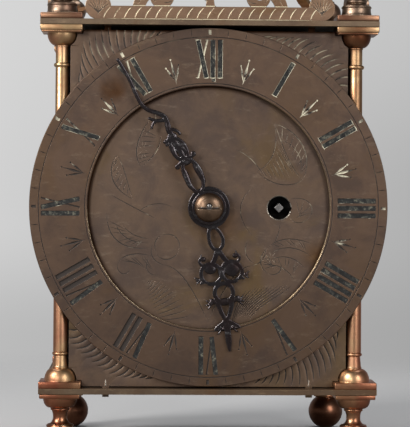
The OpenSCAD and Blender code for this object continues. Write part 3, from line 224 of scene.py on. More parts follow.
def worn_metal(name, body, dull, stain, bright, smoothness, marks, metallic=1.0, wear=1.0,
               turned=False, arris=0.35):
    """Old metal: mottled patina with stains, rubbed edges, fine scratches and pits.

    smoothness is the roughness where it is rubbed and where it is dull; marks are the scale of the
    mottling, the amount of stain, the strength of the scratches and of the pits. arris is the radius
    to which its edges are worn.
    """
    metal, tree = bare_material(name)
    mottle, stained, scratched, pitted = marks
    rubbed, unrubbed = smoothness
    place = add_node(tree, "TexCoord").outputs["Object"]
    cloud = noise(tree, place, mottle, 8.0, 0.62, 0.4)
    broad = noise(tree, place, mottle * 0.31, 5.0, 0.6, 1.2)
    grain = noise(tree, place, 1400.0, 3.0, 0.7)
    lay = add_node(tree, "Mapping", {
        "Vector": place, "Rotation": (0, 0, 0) if turned else (0.5, 0.6, 0.4),
        "Scale": (1, 1, 60) if turned else (1, 26, 3)})
    scratch = noise(tree, lay.outputs[0], 45.0 if turned else 120.0, 6.0, 0.75)
    patina = ramp(tree, cloud, [(0.34, dull), (0.62, body)], "EASE")
    spots = ramp(tree, broad, [(0.50, 0.0), (0.68, stained)], "EASE")
    fine = ramp(tree, scratch, [(0.56, 0.0), (0.72, scratched)])
    scored = mixed(tree, fine, mixed(tree, spots, patina, stain), bright)
    rounded = add_node(tree, "Bevel", {"Radius": arris * mm}, samples=4).outputs[0]
    facing = measured(tree, "DOT_PRODUCT", rounded, add_node(tree, "NewGeometry").outputs["Normal"])
    corner = ranged(tree, facing, 0.995, 0.86, to_high=wear)
    in_parts = ramp(tree, cloud, [(0.3, 0.25), (0.6, 1.0)])
    coloured = mixed(tree, maths(tree, "MULTIPLY", corner, in_parts), scored, bright)
    relief = maths(tree, "SUBTRACT", fine, maths(tree, "MULTIPLY", grain, pitted))
    bump = add_node(tree, "Bump", {
        "Height": relief, "Strength": 0.35, "Distance": 0.12 * mm, "Normal": rounded})
    coat(tree, {"Base Color": coloured, "Metallic": metallic, "Normal": bump.outputs[0],
                "Roughness": ranged(tree, cloud, 0.3, 0.68, unrubbed, rubbed)})
    return metal


def turns(start, sweep, n):
    """Angles in n even steps over a sweep; start and sweep are in degrees."""
    return [math.radians(start + sweep * i / n) for i in range(n + 1)]


def dome(r0, z0, r1, z1, n=12):
    """Quarter of an ellipse from its widest point to a narrower one."""
    return [(r1 + (r0 - r1) * math.cos(a), z0 + (z1 - z0) * math.sin(a)) for a in turns(0, 90, n)]


def cove(r0, z0, r1, z1, n=12):
    """Hollow quarter from a wide foot to a narrow neck."""
    return [(r0 + (r1 - r0) * math.sin(a), z1 + (z0 - z1) * math.cos(a)) for a in turns(0, 90, n)]


def bead(r, z, h, n=10):
    """Half round moulding of outer radius r that starts at height z and is h high."""
    return [(r - h / 2 + h / 2 * math.cos(a), z + h / 2 + h / 2 * math.sin(a))
            for a in turns(-90, 180, n)]


def spun(net, places, steps, closed=False, axis=(0, 0, 1), centre=(0, 0, 0)):
    """Spins a line through these places into a skin; a closed line ends where it starts."""
    verts = [net.verts.new(place) for place in places]
    line = verts + verts[:1] if closed else verts
    edges = [net.edges.new(pair) for pair in zip(line, line[1:])]
    bmesh.ops.spin(net, geom=verts + edges, cent=centre, axis=axis, angle=math.tau, steps=steps,
                   use_merge=True)


def turn_up(net, profile, steps=72):
    """Turns a half profile, in millimetres, about the upright axis, and closes it at its ends."""
    whole = [(0, profile[0][1]), *profile, (0, profile[-1][1])]
    spun(net, [(r * mm, 0, z * mm) for r, z in whole], steps)


def pour_in(net, other):
    """Adds one bmesh to another."""
    spare = mesh_of("spare", other)
    net.from_mesh(spare)
    bpy.data.meshes.remove(spare)


def block(net, size, middle, soften=0.45, skin=0):
    """A small rectangular block with filed edges, in the metal of that slot."""
    cube = bmesh.new()
    bmesh.ops.create_cube(cube, size=1)
    bmesh.ops.scale(cube, vec=[s * mm for s in size], verts=cube.verts)
    bmesh.ops.bevel(cube, geom=cube.edges[:], offset=soften * mm, offset_type="OFFSET", affect="EDGES",
                    segments=3, profile=0.5, material=-1)
    bmesh.ops.translate(cube, vec=[m * mm for m in middle], verts=cube.verts)
    for face in cube.faces:
        face.material_index = skin
    pour_in(net, cube)


def close_up(net):
    """Merges what touches and turns all faces outwards."""
    bmesh.ops.remove_doubles(net, verts=net.verts, dist=0.0005 * mm)
    bmesh.ops.recalc_face_normals(net, faces=net.faces)


def finish_piece(net, name, metals, body, nodes=(), crease=35):
    """Cleans the mesh, makes it an object of these metals and hangs it on its body for these nodes."""
    close_up(net)
    for face in net.faces:
        face.smooth = True
    for edge in net.edges:
        skins = {face.material_index for face in edge.link_faces}
        edge.smooth = len(skins) == 1 and edge.calc_face_angle(0) < math.radians(crease)
    piece = placed(name, mesh_of(name, net))
    for metal in metals:
        piece.data.materials.append(metal)
    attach(piece, body)
    if nodes:
        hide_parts(*nodes)
    return piece


def verts_in(geometry):
    """The vertices in what an operator gives back."""
    return [item for item in geometry if isinstance(item, bmesh.types.BMVert)]


def to_corners(net):
    """Makes four of what is in the net, one on each corner of the case."""
    first = net.verts[:] + net.edges[:] + net.faces[:]
    for x, y in ((1, -1), (-1, 1), (1, 1)):
        copy = bmesh.ops.duplicate(net, geom=first)["geom"]
        bmesh.ops.translate(net, vec=(x * half * mm, y * half * mm, 0), verts=verts_in(copy))
    bmesh.ops.translate(net, vec=(-half * mm, -half * mm, 0), verts=verts_in(first))


# The balls take a darker brown metal than the rest of each foot: a painted shade for the shadow under the
# case.
shaded_ball_brown = worn_metal(
    "shaded_ball_brown", (0.25, 0.115, 0.068), (0.15, 0.060, 0.036), (0.12, 0.04, 0.025), (0.50, 0.30, 0.18),
    (0.27, 0.40), (70, 0.6, 0.3, 0.35), turned=True)
coppery_brass = worn_metal(
    "coppery_brass", (0.56, 0.300, 0.165), (0.33, 0.145, 0.080), (0.26, 0.09, 0.05), (0.86, 0.62, 0.36),
    (0.24, 0.40), (70, 0.6, 0.3, 0.35), turned=True)
ball_r = 9.8
ball_z = ball_r - 0.2
collar_r = 6.9
collar_z = 18.1
cup_r = 8.5
cup_z = foot_h - 7.4
ball_low = math.degrees(math.acos(ball_z / ball_r))
ball_high = 180 - math.degrees(math.asin(5.6 / ball_r))
ball = [(ball_r * math.sin(a), ball_z - ball_r * math.cos(a))
        for a in turns(ball_low, ball_high - ball_low, 28)]
neck = [(3.6, cup_z - 3.2), (4.1, cup_z - 1.6)] + bead(4.8, cup_z - 1.5, 1.2) + [(4.8, cup_z - 0.2)]
cup = [(5.5, cup_z)] + dome(cup_r, foot_h - 2.75, 5.6, cup_z, 14)[::-1]
feet = bmesh.new()
turn_up(feet, ball + bead(collar_r, collar_z, 1.5)
        + cove(collar_r - 0.6, collar_z + 1.6, 3.5, collar_z + 5.2) + neck + cup
        + [(cup_r + 0.3, foot_h - 2.6), (cup_r + 0.3, foot_h - 1)])
# Below the collar the faces take the darker ball metal, which carries the painted shade.
for face in feet.faces:
    face.material_index = 1 if face.calc_center_median().z < collar_z * mm else 0
block(feet, (block_w - 1, block_w - 1, 2.3), (0, 0, foot_h - 1.15))
to_corners(feet)
ball_feet = finish_piece(feet, "turned_ball_feet", [coppery_brass, shaded_ball_brown], "case", ["ball_feet"])

# Bottom and top plates: square hard brass sheet, sawn and filed, drilled for the pillars' spigots and
# slotted for the lugs of the dial plate and the back. They are darker than the turned pieces.
plate_brass = worn_metal(
    "plate_brass", (0.26, 0.185, 0.125), (0.15, 0.105, 0.075), (0.20, 0.10, 0.05), (0.62, 0.47, 0.28),
    (0.34, 0.5), (48, 0.6, 0.35, 0.35))


def dress(metal, *node_names):
    """Gives CAD pieces their metal."""
    for node_name in node_names:
        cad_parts[node_name].data.materials[0] = metal


dress(plate_brass, "bottom_plate", "top_plate")

# Four corner pillars: turned brass between the plates, each with a square block, a bowl, a slim
# tapered shaft and two beads. Low down, the outer side of every pillar is tinted redder.
floor_z = 38.2
ceiling_z = 219.2
bowl_r = 8
high_bowl_r = 7.4
shaft_r = 3.15
spigot_r = 2.5
turned_brass = worn_metal(
    "turned_brass", (0.62, 0.42, 0.228), (0.42, 0.225, 0.12), (0.50, 0.22, 0.14), (0.92, 0.72, 0.44),
    (0.31, 0.46), (60, 0.75, 0.25, 0.3), turned=True)
bowl_low = dome(bowl_r, floor_z + 3.4, 3.7, floor_z + 9.7, 16)
bowl_high = dome(high_bowl_r, ceiling_z - 3.9, shaft_r, ceiling_z - 10.1, 16)
low_neck = ([(3.95, floor_z + 9.9), (3.95, floor_z + 10.5), (3.7, floor_z + 10.7)]
            + bead(4.1, floor_z + 16.0, 1.8) + [(3.66, floor_z + 18.0)])
high_neck = ([(3.2, ceiling_z - 21.2)] + bead(4.1, ceiling_z - 20.9, 2.2)
             + [(shaft_r, ceiling_z - 18.5), (shaft_r, ceiling_z - 11.0),
                (3.45, ceiling_z - 10.8), (3.45, ceiling_z - 10.2)])
pillars = bmesh.new()
turn_up(pillars, [(bowl_r, floor_z + 1)] + bowl_low + low_neck + high_neck + bowl_high[::-1]
        + [(high_bowl_r, ceiling_z - 1)])
turn_up(pillars, [(spigot_r, floor_z - 7.7), (spigot_r, floor_z + 1)], 24)
turn_up(pillars, [(spigot_r, ceiling_z - 1), (spigot_r, ceiling_z + 7.7)], 24)
block(pillars, (block_w, block_w, 3.4), (0, 0, floor_z + 1.7), 0.45, 1)
block(pillars, (block_w, block_w, 3.0), (0, 0, ceiling_z - 1.5), 0.5)
block(pillars, (block_w - 1.2, block_w - 1.2, 1.2), (0, 0, ceiling_z - 3.3), 0.3, 1)
to_corners(pillars)
corner_pillars = finish_piece(pillars, "turned_pillars", [turned_brass, coppery_brass], "case",
                              ["corner_pillars"])


def shade_where(metal, amount, shade):
    """Multiplies a metal's colour by a shade where the amount is 1."""
    tree = metal.node_tree
    skin = next(node for node in tree.nodes if node.type == "BSDF_PRINCIPLED")
    plain = skin.inputs["Base Color"].links[0].from_socket
    tree.links.new(mixed(tree, amount, plain, shade, "MULTIPLY"), skin.inputs["Base Color"])


for metal in (turned_brass, coppery_brass):
    tree = metal.node_tree
    place = add_node(tree, "TexCoord").outputs["Object"]
    # Round the top right capital the brass is darkened to red-brown: tarnish, with a painted shade that
    # damps its highlight.
    from_top_right = measured(tree, "DISTANCE", place, (half * mm, -half * mm, 219 * mm))
    tarnish_and_shade = ranged(tree, from_top_right, 15 * mm, 9 * mm, ease="SMOOTHSTEP")
    shade_where(metal, tarnish_and_shade, (0.36, 0.24, 0.22))
    # Below about 150 mm the outer side of each pillar is tinted redder.
    across, _, up = add_node(tree, "SeparateXYZ", {0: place}).outputs
    outer_side = ranged(tree, maths(tree, "ABSOLUTE", across), (half - 1) * mm, (half + 2.5) * mm)
    low_down = ranged(tree, up, 150 * mm, 110 * mm)
    shade_where(metal, maths(tree, "MULTIPLY", outer_side, low_down), (0.96, 0.76, 0.78))

# Corner finials: turned brass urns on square blocks, screwed down through the top plate. The four
# pins of the bell strap go into their sides.
deck_z = 221.9
finial_brass = worn_metal(
    "finial_brass", (0.30, 0.21, 0.150), (0.165, 0.108, 0.080), (0.20, 0.095, 0.062), (0.74, 0.58, 0.40),
    (0.32, 0.46), (80, 0.6, 0.3, 0.35), turned=True)
dark_copper = worn_metal(
    "dark_copper", (0.34, 0.185, 0.112), (0.20, 0.095, 0.060), (0.18, 0.065, 0.040), (0.70, 0.50, 0.32),
    (0.30, 0.44), (70, 0.6, 0.3, 0.35), turned=True)


def finial(z, r, h, foot):
    """Half profile of a turned finial of height h on a foot that is given apart."""
    swell = [(0.12 * r + 0.78 * r * math.cos(a), z + 0.46 * h + 0.19 * h * math.sin(a))
             for a in turns(-62, 128, 20)]
    knob = [(0.34 * r * math.cos(a), z + 0.87 * h + 0.09 * h * math.sin(a)) for a in turns(-50, 128, 14)]
    return (foot + bead(0.66 * r, z + 0.2 * h, 0.06 * h) + swell
            + cove(0.42 * r, z + 0.66 * h, 0.25 * r, z + 0.72 * h, 5)
            + bead(0.44 * r, z + 0.73 * h, 0.05 * h) + knob + [(0.1, z + h)])


finials = bmesh.new()
foot_z = deck_z + 2.5
bell_foot = ([(8.3, foot_z), (8.3, foot_z + 0.9)] + cove(8.0, foot_z + 1.1, 7.2, foot_z + 4.4, 8)
             + bead(7.6, foot_z + 4.5, 0.9)
             + [(7.1, foot_z + 5.7), (6.4, foot_z + 6.2), (4.6, foot_z + 6.6)])
turn_up(finials, finial(foot_z, 8, 34, bell_foot))
block(finials, (block_w, block_w, 3), (0, 0, deck_z + 1.5), 0.6, 1)
to_corners(finials)
corner_finials = finish_piece(finials, "turned_corner_finials", [finial_brass, dark_copper], "case",
                              ["corner_finials"])

# Side doors: plain brass sheets on a rod with hinge pins, each with a small turned pull knob. The
# iron back panel hangs on its lugs and has the same knob.
knob_y = -half * mm + 16 * mm
door_face = (half + 0.75) * mm
back_face = 76.2 * mm
back_iron = worn_metal(
    "back_iron", (0.075, 0.066, 0.060), (0.045, 0.038, 0.034), (0.13, 0.055, 0.028), (0.22, 0.20, 0.18),
    (0.42, 0.62), (60, 0.75, 0.3, 0.6), metallic=0.9)
dress(plate_brass, "left_door", "right_door")
dress(back_iron, "back_panel")


def pull_knob(name, spot, lean, axis, body, node_name):
    """A small turned knob, its seat at a spot on the sheet and its stem through it."""
    net = bmesh.new()
    ball = [(4 * math.cos(a), 7.2 + 4 * math.sin(a)) for a in turns(-62, 152, 16)]
    turn_up(net, [(3.0, 0), (3.4, 0.2), (3.4, 0.6)] + cove(3.2, 0.9, 1.5, 3.2, 8) + ball[:-1], 48)
    turn_up(net, [(1.2, -1.5), (1.2, 0.5)], 20)
    bmesh.ops.rotate(net, cent=(0, 0, 0), matrix=Matrix.Rotation(math.radians(lean), 3, axis),
                     verts=net.verts)
    bmesh.ops.translate(net, vec=spot, verts=net.verts)
    knob = finish_piece(net, name, [turned_brass], body, [node_name])


pull_knob("left_door_pull", (-door_face, knob_y, dial_z), -90, "Y", "left_door_work", "left_door_knob")
pull_knob("right_door_pull", (door_face, knob_y, dial_z), 90, "Y", "right_door_work", "right_door_knob")
pull_knob("back_panel_pull", (0, back_face, dial_z), -90, "X", "case", "back_panel_knob")

# Movement plates, pillars and the back cock: cast brass, filed flat and kept cleaner than the case.
# The wheels are the same brass, crossed out by hand and polished along their arms.
movement_brass = worn_metal(
    "movement_brass", (0.62, 0.44, 0.20), (0.42, 0.29, 0.13), (0.28, 0.17, 0.07), (0.88, 0.70, 0.38),
    (0.26, 0.40), (70, 0.35, 0.35, 0.25))
dress(movement_brass, "movement_front_plate", "movement_back_plate", "movement_pillars", "back_cock",
      "barrel", "barrel_cap", "intermediate_wheel", "centre_wheel", "third_wheel", "escape_wheel",
      "cannon_pinion", "minute_wheel", "hour_wheel", "pendulum_bob")

# Arbors, screws, springs and the small steel work: turned or filed steel, left grey and oiled, with
# fine file marks and a little brown rust. Behind its squared end the winding arbor is painted near
# black: a painted shade for the dark inside of the case, seen through the winding hole.
grey_steel = worn_metal(
    "grey_steel", (0.40, 0.39, 0.385), (0.24, 0.225, 0.215), (0.19, 0.11, 0.07), (0.72, 0.71, 0.69),
    (0.22, 0.38), (110, 0.5, 0.4, 0.3))
black_steel = worn_metal(
    "black_steel", (0.020, 0.019, 0.019), (0.012, 0.011, 0.011), (0.025, 0.016, 0.012), (0.10, 0.10, 0.10),
    (0.45, 0.6), (110, 0.5, 0.3, 0.4), metallic=0.7, wear=0.4)
winding_steel = grey_steel.copy()
winding_steel.name = "winding_steel"
tree = winding_steel.node_tree
# Painted shade: the arbor is darkened behind the square, where it lies in the dark behind the dial.
depth = add_node(tree, "SeparateXYZ", {0: add_node(tree, "TexCoord").outputs["Object"]}).outputs["Y"]
shade_where(winding_steel, ranged(tree, depth, -66 * mm, -64 * mm), (0.02, 0.018, 0.016))
dress(grey_steel, "seat_brackets", "movement_screws", "mainspring", "click", "click_screw",
      "click_spring", "intermediate_arbor", "centre_arbor", "third_arbor", "escape_arbor", "minute_stud",
      "pallet_arbor", "anchor", "pendulum_rod", "hammer", "hammer_spring", "ring_pins", "collet_pin",
      "fret_screws", "bell_stud", "bell_nut")
dress(black_steel, "ratchet_wheel")
dress(winding_steel, "barrel_arbor")

# Dial plate: sheet brass behind the chapter ring, engraved by hand with flowers and leaves in the
# middle and with gadroons in the corners; old polish has dried in the cuts.
dial_face = -76.2
dial_brass = worn_metal(
    "dial_brass", (0.236, 0.161, 0.116), (0.138, 0.099, 0.081), (0.230, 0.150, 0.068), (0.46, 0.36, 0.26),
    (0.34, 0.48), (58, 0.65, 0.30, 0.45), wear=0.25, arris=0.2)
pale_edge = worn_metal(
    "pale_edge", (0.38, 0.35, 0.30), (0.20, 0.18, 0.15), (0.20, 0.15, 0.10), (0.60, 0.56, 0.50),
    (0.26, 0.38), (60, 0.35, 0.3, 0.2))
tree = dial_brass.node_tree
place = add_node(tree, "TexCoord").outputs["Object"]
from_arbor = add_node(tree, "VectorMath", {
    0: place, 1: (0, dial_face * mm, dial_z)}, operation="SUBTRACT").outputs["Vector"]
# Painted shadows: the dial is darkened in a band along the ring's inner edge, most at the upper left where
# the ring shades it, and along its top edge under the top plate.
by_the_ring = ramp(tree, ranged(tree, measured(tree, "LENGTH", from_arbor), 0.0, 100 * mm),
                   [(0.584, 0.0), (0.603, 1.0), (0.80, 1.0), (0.85, 0.0)])
upper_left = measured(tree, "DOT_PRODUCT", from_arbor, (-0.78, 0, 0.62))
ring_shadow = maths(tree, "MULTIPLY", by_the_ring, ranged(tree, upper_left, -15 * mm, 35 * mm, 0.1))
height = add_node(tree, "SeparateXYZ", {0: place}).outputs["Z"]
painted_shadows = maths(tree, "MAXIMUM", ring_shadow, ranged(tree, height, 215.6 * mm, 216.6 * mm))
shade_where(dial_brass, painted_shadows, (0.20, 0.12, 0.075))
# Painted shade: the dial darkens towards its upper right.
upper_right = measured(tree, "DOT_PRODUCT", from_arbor, (0.5, 0, 0.86))
shade_where(dial_brass, ranged(tree, upper_right, 15 * mm, 65 * mm), (0.80, 0.79, 0.80))
# Three warm darker spots: those below and right of the hub and under the minute hand are painted shadows of
# the collet and the hand; the one by the ring's right inner edge is a warm tone in the brass.
for x, z, reach, shade in ((56, 104, 12, (0.85, 0.66, 0.42)), (5, 122, 17, (0.80, 0.68, 0.55)),
                           (-12, 148, 9, (0.86, 0.74, 0.62))):
    away = measured(tree, "DISTANCE", place, (x * mm, dial_face * mm, z * mm))
    shade_where(dial_brass, ranged(tree, away, reach * mm, 0.0, ease="SMOOTHSTEP"), shade)


def cut_residue(name, pale, dark, pale_above):
    """The walls of engraved cuts: dried polish, paler at the upper right, and dark wax and dirt."""
    crust, tree = bare_material(name)
    place = add_node(tree, "TexCoord").outputs["Object"]
    rightward_up = measured(tree, "DOT_PRODUCT", place, (0.2, 0, 0.98))
    patch = noise(tree, place, 140.0, 4.0, 0.6)
    middle = 0.98 * dial_z
    rise = ranged(tree, rightward_up, middle - 60 * mm, middle + 75 * mm, -0.22, pale_above)
    tone = ramp(tree, maths(tree, "ADD", patch, rise), [(0.47, dark), (0.60, pale)])
    bump = add_node(tree, "Bump", {"Height": patch, "Strength": 0.3, "Distance": 0.1 * mm})
    coat(tree, {"Base Color": tone, "Metallic": 0.0, "Roughness": 0.75, "Normal": bump.outputs[0]})
    return crust


dial_residue = cut_residue("dial_cut_residue", (0.26, 0.22, 0.155), (0.026, 0.019, 0.015), 0.02)
pale_residue = cut_residue("pale_residue", (0.50, 0.45, 0.33), (0.16, 0.12, 0.085), 0.12)


def bend(a, b, c, d, n=10):
    """Points of a cubic curve through a and d, pulled towards b and c."""
    path = []
    for i in range(n + 1):
        t = i / n
        s = 1 - t
        pulls = (s * s * s, 3 * s * s * t, 3 * s * t * t, t * t * t)
        path.append(tuple(sum(k * p[axis] for k, p in zip(pulls, (a, b, c, d))) for axis in (0, 1)))
    return path


def strokes(*rows):
    """Curved strokes; a row is its four points, its width and, if it isn't 10, its number of steps."""
    return [(bend(row[0:2], row[2:4], row[4:6], row[6:8], *row[9:]), row[8]) for row in rows]


def graver_cuts(lines, depth, face_y, z0):
    """Cuts with a vee section that swell in the middle; each is its points and its width."""
    curve = bpy.data.curves.new("cuts", "CURVE")
    curve.dimensions = "3D"
    curve.bevel_depth = 0.5 * mm
    curve.bevel_resolution = 0
    curve.use_fill_caps = True
    for points, width in lines:
        cut = curve.splines.new("POLY")
        cut.points.add(len(points) - 1)
        for i, (x, z) in enumerate(points):
            cut.points[i].co = (x * mm, 0, z * mm, 1)
            cut.points[i].radius = width * (0.15 + 0.85 * math.sin(math.pi * i / (len(points) - 1)) ** 0.6)
    holder = placed("cuts", curve)
    bpy.context.view_layer.update()
    shape = bpy.data.meshes.new_from_object(holder)
    bpy.data.objects.remove(holder)
    bpy.data.curves.remove(curve)
    net = bmesh.new()
    net.from_mesh(shape)
    bpy.data.meshes.remove(shape)
    bmesh.ops.remove_doubles(net, verts=net.verts, dist=0.001 * mm)
    bmesh.ops.scale(net, vec=(1, depth, 1), verts=net.verts)
    bmesh.ops.translate(net, vec=(0, face_y * mm, z0 * mm), verts=net.verts)
    bmesh.ops.recalc_face_normals(net, faces=net.faces)
    return net


def worked(piece):
    """A bmesh of the piece as its modifiers leave it."""
    bpy.context.view_layer.update()
    held = piece.evaluated_get(bpy.context.evaluated_depsgraph_get())
    net = bmesh.new()
    net.from_mesh(held.to_mesh())
    held.to_mesh_clear()
    return net


def discard(piece):
    """Removes a spare object and its mesh."""
    shape = piece.data
    bpy.data.objects.remove(piece)
    bpy.data.meshes.remove(shape)


def take_away(net, cutters, skins):
    """Cuts meshes out of a blank; the first one's cut faces get the second skin, and so on."""
    saws = bmesh.new()
    for number, cutter in enumerate(cutters, 1):
        for face in cutter.faces:
            face.material_index = number
        pour_in(saws, cutter)
    solids = [placed(name, mesh_of(name, part)) for name, part in (("blank", net), ("saws", saws))]
    for solid in solids:
        for skin in skins:
            solid.data.materials.append(skin)
    saw = solids[0].modifiers.new("saw", "BOOLEAN")
    saw.operation = "DIFFERENCE"
    saw.solver = "EXACT"
    saw.use_self = True
    saw.object = solids[1]
    result = worked(solids[0])
    for solid in solids:
        discard(solid)
    return result


def merged_copy(node_name):
    """A CAD node's mesh as one joined skin, with its flat faces whole."""
    net = bmesh.new()
    net.from_mesh(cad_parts[node_name].data)
    bmesh.ops.remove_doubles(net, verts=net.verts, dist=0.002 * mm)
    return net


def scored_blank(node_name, spacing=5 * mm):
    """A CAD node's mesh with its wide faces split along a grid, so that cuts stay local."""
    net = merged_copy(node_name)
    low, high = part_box(node_name)
    for axis in (0, 1, 2):
        way = [0, 0, 0]
        way[axis] = 1
        for i in range(1, int((high[axis] - low[axis]) / spacing)):
            spot = [0, 0, 0]
            spot[axis] = low[axis] + i * spacing + 0.013 * mm
            bmesh.ops.bisect_plane(net, geom=net.verts[:] + net.edges[:] + net.faces[:], dist=1e-7,
                                   plane_co=spot, plane_no=way)
    return net


def two_sided(lines):
    """The strokes and their mirror image across the middle line."""
    return lines + [([(-x, z) for x, z in points], width) for points, width in lines]


def veins(one, other, count, width=0.26):
    """Hatching inside a leaf, slanting from one of its outlines to the other."""
    last = len(one) - 1
    lines = []
    for i in range(count):
        step = round((last - 3) * i / (count - 1))
        near = one[1 + step]
        far = other[min(last - 1, 3 + step)]
        short = [(near[0] + (far[0] - near[0]) * t, near[1] + (far[1] - near[1]) * t + 0.6 * t * (1 - t))
                 for t in (0.06, 0.3, 0.55, 0.78)]
        lines.append((short, width))
    return lines


petals = two_sided(strokes(
    (0, -57, 8, -40, 14, -30, 22, -29, 0.36), (22, -29, 27, -28, 30, -24, 28, -19, 0.34)))
left_flower = strokes(
    (-51, -3, -51, -16, -43, -22, -30, -20.5, 0.40), (-47, -7, -45, -15, -38, -18.5, -30, -18, 0.33),
    (-43, -9, -40, -13.5, -35, -15.5, -30, -15.8, 0.30),
    (-45, -28, -43, -23.5, -35, -22.5, -29, -24.5, 0.33), (-45, -28, -47, -33, -41, -36, -39, -31, 0.30),
    (-29, -24.5, -33, -30, -30, -35, -25, -34, 0.30),
    (-23, -14, -17, -12, -13, -17, -15, -22, 0.33), (-15, -22, -17, -27, -24, -28, -26, -23, 0.33),
    (-26, -23, -28, -18, -26, -15, -23, -14, 0.30), (-38, 4, -48, 8, -52, 18, -46, 26, 0.40),
    (-38, 4, -41, 12, -42, 20, -46, 26, 0.30), (-34, 20, -38, 26, -37, 33, -29, 45, 0.40),
    (-32, 36, -28, 40, -26, 42, -27, 47, 0.36), (-34, 20, -28, 24, -24, 30, -24, 36, 0.33),
    (-49, 6, -42, 2, -34, -2, -26, -6, 0.33), (-36, -3, -30, 2, -24, 3, -18, 0, 0.26))
right_flower = strokes(
    (22, -14, 14, -6, 14, 4, 22, 10, 0.30), (41, 4.5, 50, 6.5, 55, 0, 50, -5.5, 0.33),
    (50, -5.5, 46, -8.5, 43, -8, 41, -5, 0.26), (33, 42, 46, 39, 53, 25, 47, 14, 0.40),
    (33, 42, 37, 31, 40, 21, 47, 14, 0.33), (36, 34, 43, 32, 48, 25, 46, 18, 0.26),
    (24, 18, 32, 22, 35, 30, 33, 42, 0.33), (24, 18, 30, 12, 40, 9, 47, 14, 0.33),
    (28, 15, 24, 22, 20, 27, 13, 29, 0.30), (30, -20, 36, -14, 44, -15, 52, -18, 0.33),
    (31, -23, 38, -18, 46, -20, 51, -24, 0.33), (31, -26, 38, -23, 44, -25, 48, -30, 0.33),
    (30, -29, 35, -28, 40, -31, 43, -36, 0.33), (30, -20, 25, -24, 25, -30, 30, -33, 0.36),
    (30, -33, 35, -35, 38, -31, 36, -27, 0.36), (20, -16, 17, -21, 19, -26, 23, -28, 0.33),
    (36, -8, 35.5, -12, 34.5, -16, 32, -19, 0.30))
fans = []
for i in range(13):
    t = i / 12
    a = (-31 + 8 * t * t, -38 - 19 * t)
    b = (-29 + 20 * t, -36 - 18 * t * t)
    fans.append((bend(a, (a[0] + 3, a[1] + 1), (b[0] - 3, b[1] - 2), b, 7), 0.36))
for i in range(11):
    t = i / 10
    a = (12 + 9 * t, -58 + 1.5 * t + 9 * t * (1 - t))
    b = (20 + 22 * t, -41 + 6 * t - 4 * t * t)
    fans.append((bend(a, (a[0] + 1, a[1] + 6), (b[0] - 5, b[1] - 5), b, 8), 0.45))
leaves = []
for flower, near, far, count in (
        (left_flower, 9, 10, 8), (left_flower, 11, 13, 7), (left_flower, 0, 2, 7), (left_flower, 3, 5, 6),
        (right_flower, 3, 4, 9), (right_flower, 6, 7, 8), (right_flower, 9, 10, 6),
        (right_flower, 11, 12, 6), (right_flower, 13, 14, 5), (right_flower, 1, 2, 4)):
    leaves += veins(flower[near][0], flower[far][0], count)
buds = []
for i in range(7):
    a = math.radians(51 * i)
    buds.append(([(31.5 + r * math.cos(a), -25 + r * math.sin(a)) for r in (1.0, 2.0, 3.2)], 0.5))
    buds.append(([(-33 + r * math.cos(a), 28.5 + r * math.sin(a) * 2) for r in (0.8, 1.6, 2.6)], 0.32))
gadroon_start = 88.6
gadroon_w = 67.6
gadroon_h = 87.2
gadroon_twist = math.radians(2.6)
gadroons = []
hollows = []
for corner, longest in ((0, 99), (90, 102), (180, 97), (270, 103.5)):
    for i in range(15):
        lean = math.radians(17.5 + 29 * i / 14 if corner in (0, 180) else 72.5 - 29 * i / 14)
        around = lean + math.radians(corner)
        reach = min(gadroon_w / abs(math.sin(around)), gadroon_h / abs(math.cos(around)), longest)
        arc = []
        for k in range(7):
            r = gadroon_start + (reach - gadroon_start) * k / 6
            angle = around + gadroon_twist * (k / 6) ** 2
            arc.append((r * math.sin(angle), r * math.cos(angle)))
        gadroons.append((arc, 1.1))
        hollows.append((arc, 2.3))
flower_work = [(line, 1.3 * width) for line, width in petals + left_flower + right_flower + leaves]
dial_saws = [graver_cuts(lines, depth, dial_face, dial_z / mm)
             for lines, depth in ((flower_work + fans + gadroons, 0.55), (buds, 0.6), (hollows, 0.13))]
dial_skins = (dial_brass, dial_residue, pale_residue, pale_edge)
dial = take_away(scored_blank("dial_plate"), dial_saws, dial_skins)
for face in dial.faces:
    face.material_index %= 3
plate_side = 69.45
web_side = half - bowl_r - 0.45
for profile, past in ((bowl_low, 0.2), (bowl_high, -0.2)):
    wide_z = profile[0][1]
    neck_z = profile[-1][1]
    curve = [(min(half - r - 0.25, plate_side), z) for r, z in profile]
    outline = [(web_side, neck_z + past), (web_side, wide_z)] + curve + [(plate_side, neck_z)]
    for side in (-1, 1):
        web = [dial.verts.new((side * x * mm, dial_face * mm, z * mm)) for x, z in outline]
        grown = bmesh.ops.extrude_face_region(dial, geom=[dial.faces.new(web)])["geom"]
        bmesh.ops.translate(dial, vec=(0, 2 * mm, 0), verts=verts_in(grown))
for x in (-51, 51):
    nib = bmesh.ops.create_cone(dial, cap_ends=True, segments=4, radius1=0.62 * mm, radius2=0.2 * mm,
                                depth=3.2 * mm)["verts"]
    bmesh.ops.translate(dial, vec=(x * mm, (dial_face + 0.1) * mm, 40.7 * mm), verts=nib)
    for face in {face for v in nib for face in v.link_faces}:
        face.material_index = 3
winding_hole_r = 5.7
winding_hole = Vector((35.4 * mm, dial_face * mm, dial_z))
rim = [edge for edge in dial.edges
       if all(abs((v.co - winding_hole).length - winding_hole_r * mm) < 0.06 * mm for v in edge.verts)
       and all(abs(v.co.y - winding_hole.y) < 0.01 * mm for v in edge.verts)]
# The rim of the winding hole is bevelled in the pale edge metal: a painted highlight where its chamfer
# catches the light.
bmesh.ops.bevel(dial, geom=rim, offset=0.5 * mm, offset_type="OFFSET", affect="EDGES", segments=2,
                profile=0.5, material=3)
dial_plate = finish_piece(dial, "engraved_dial_plate", dial_skins, "case", ["dial_plate"], 14)

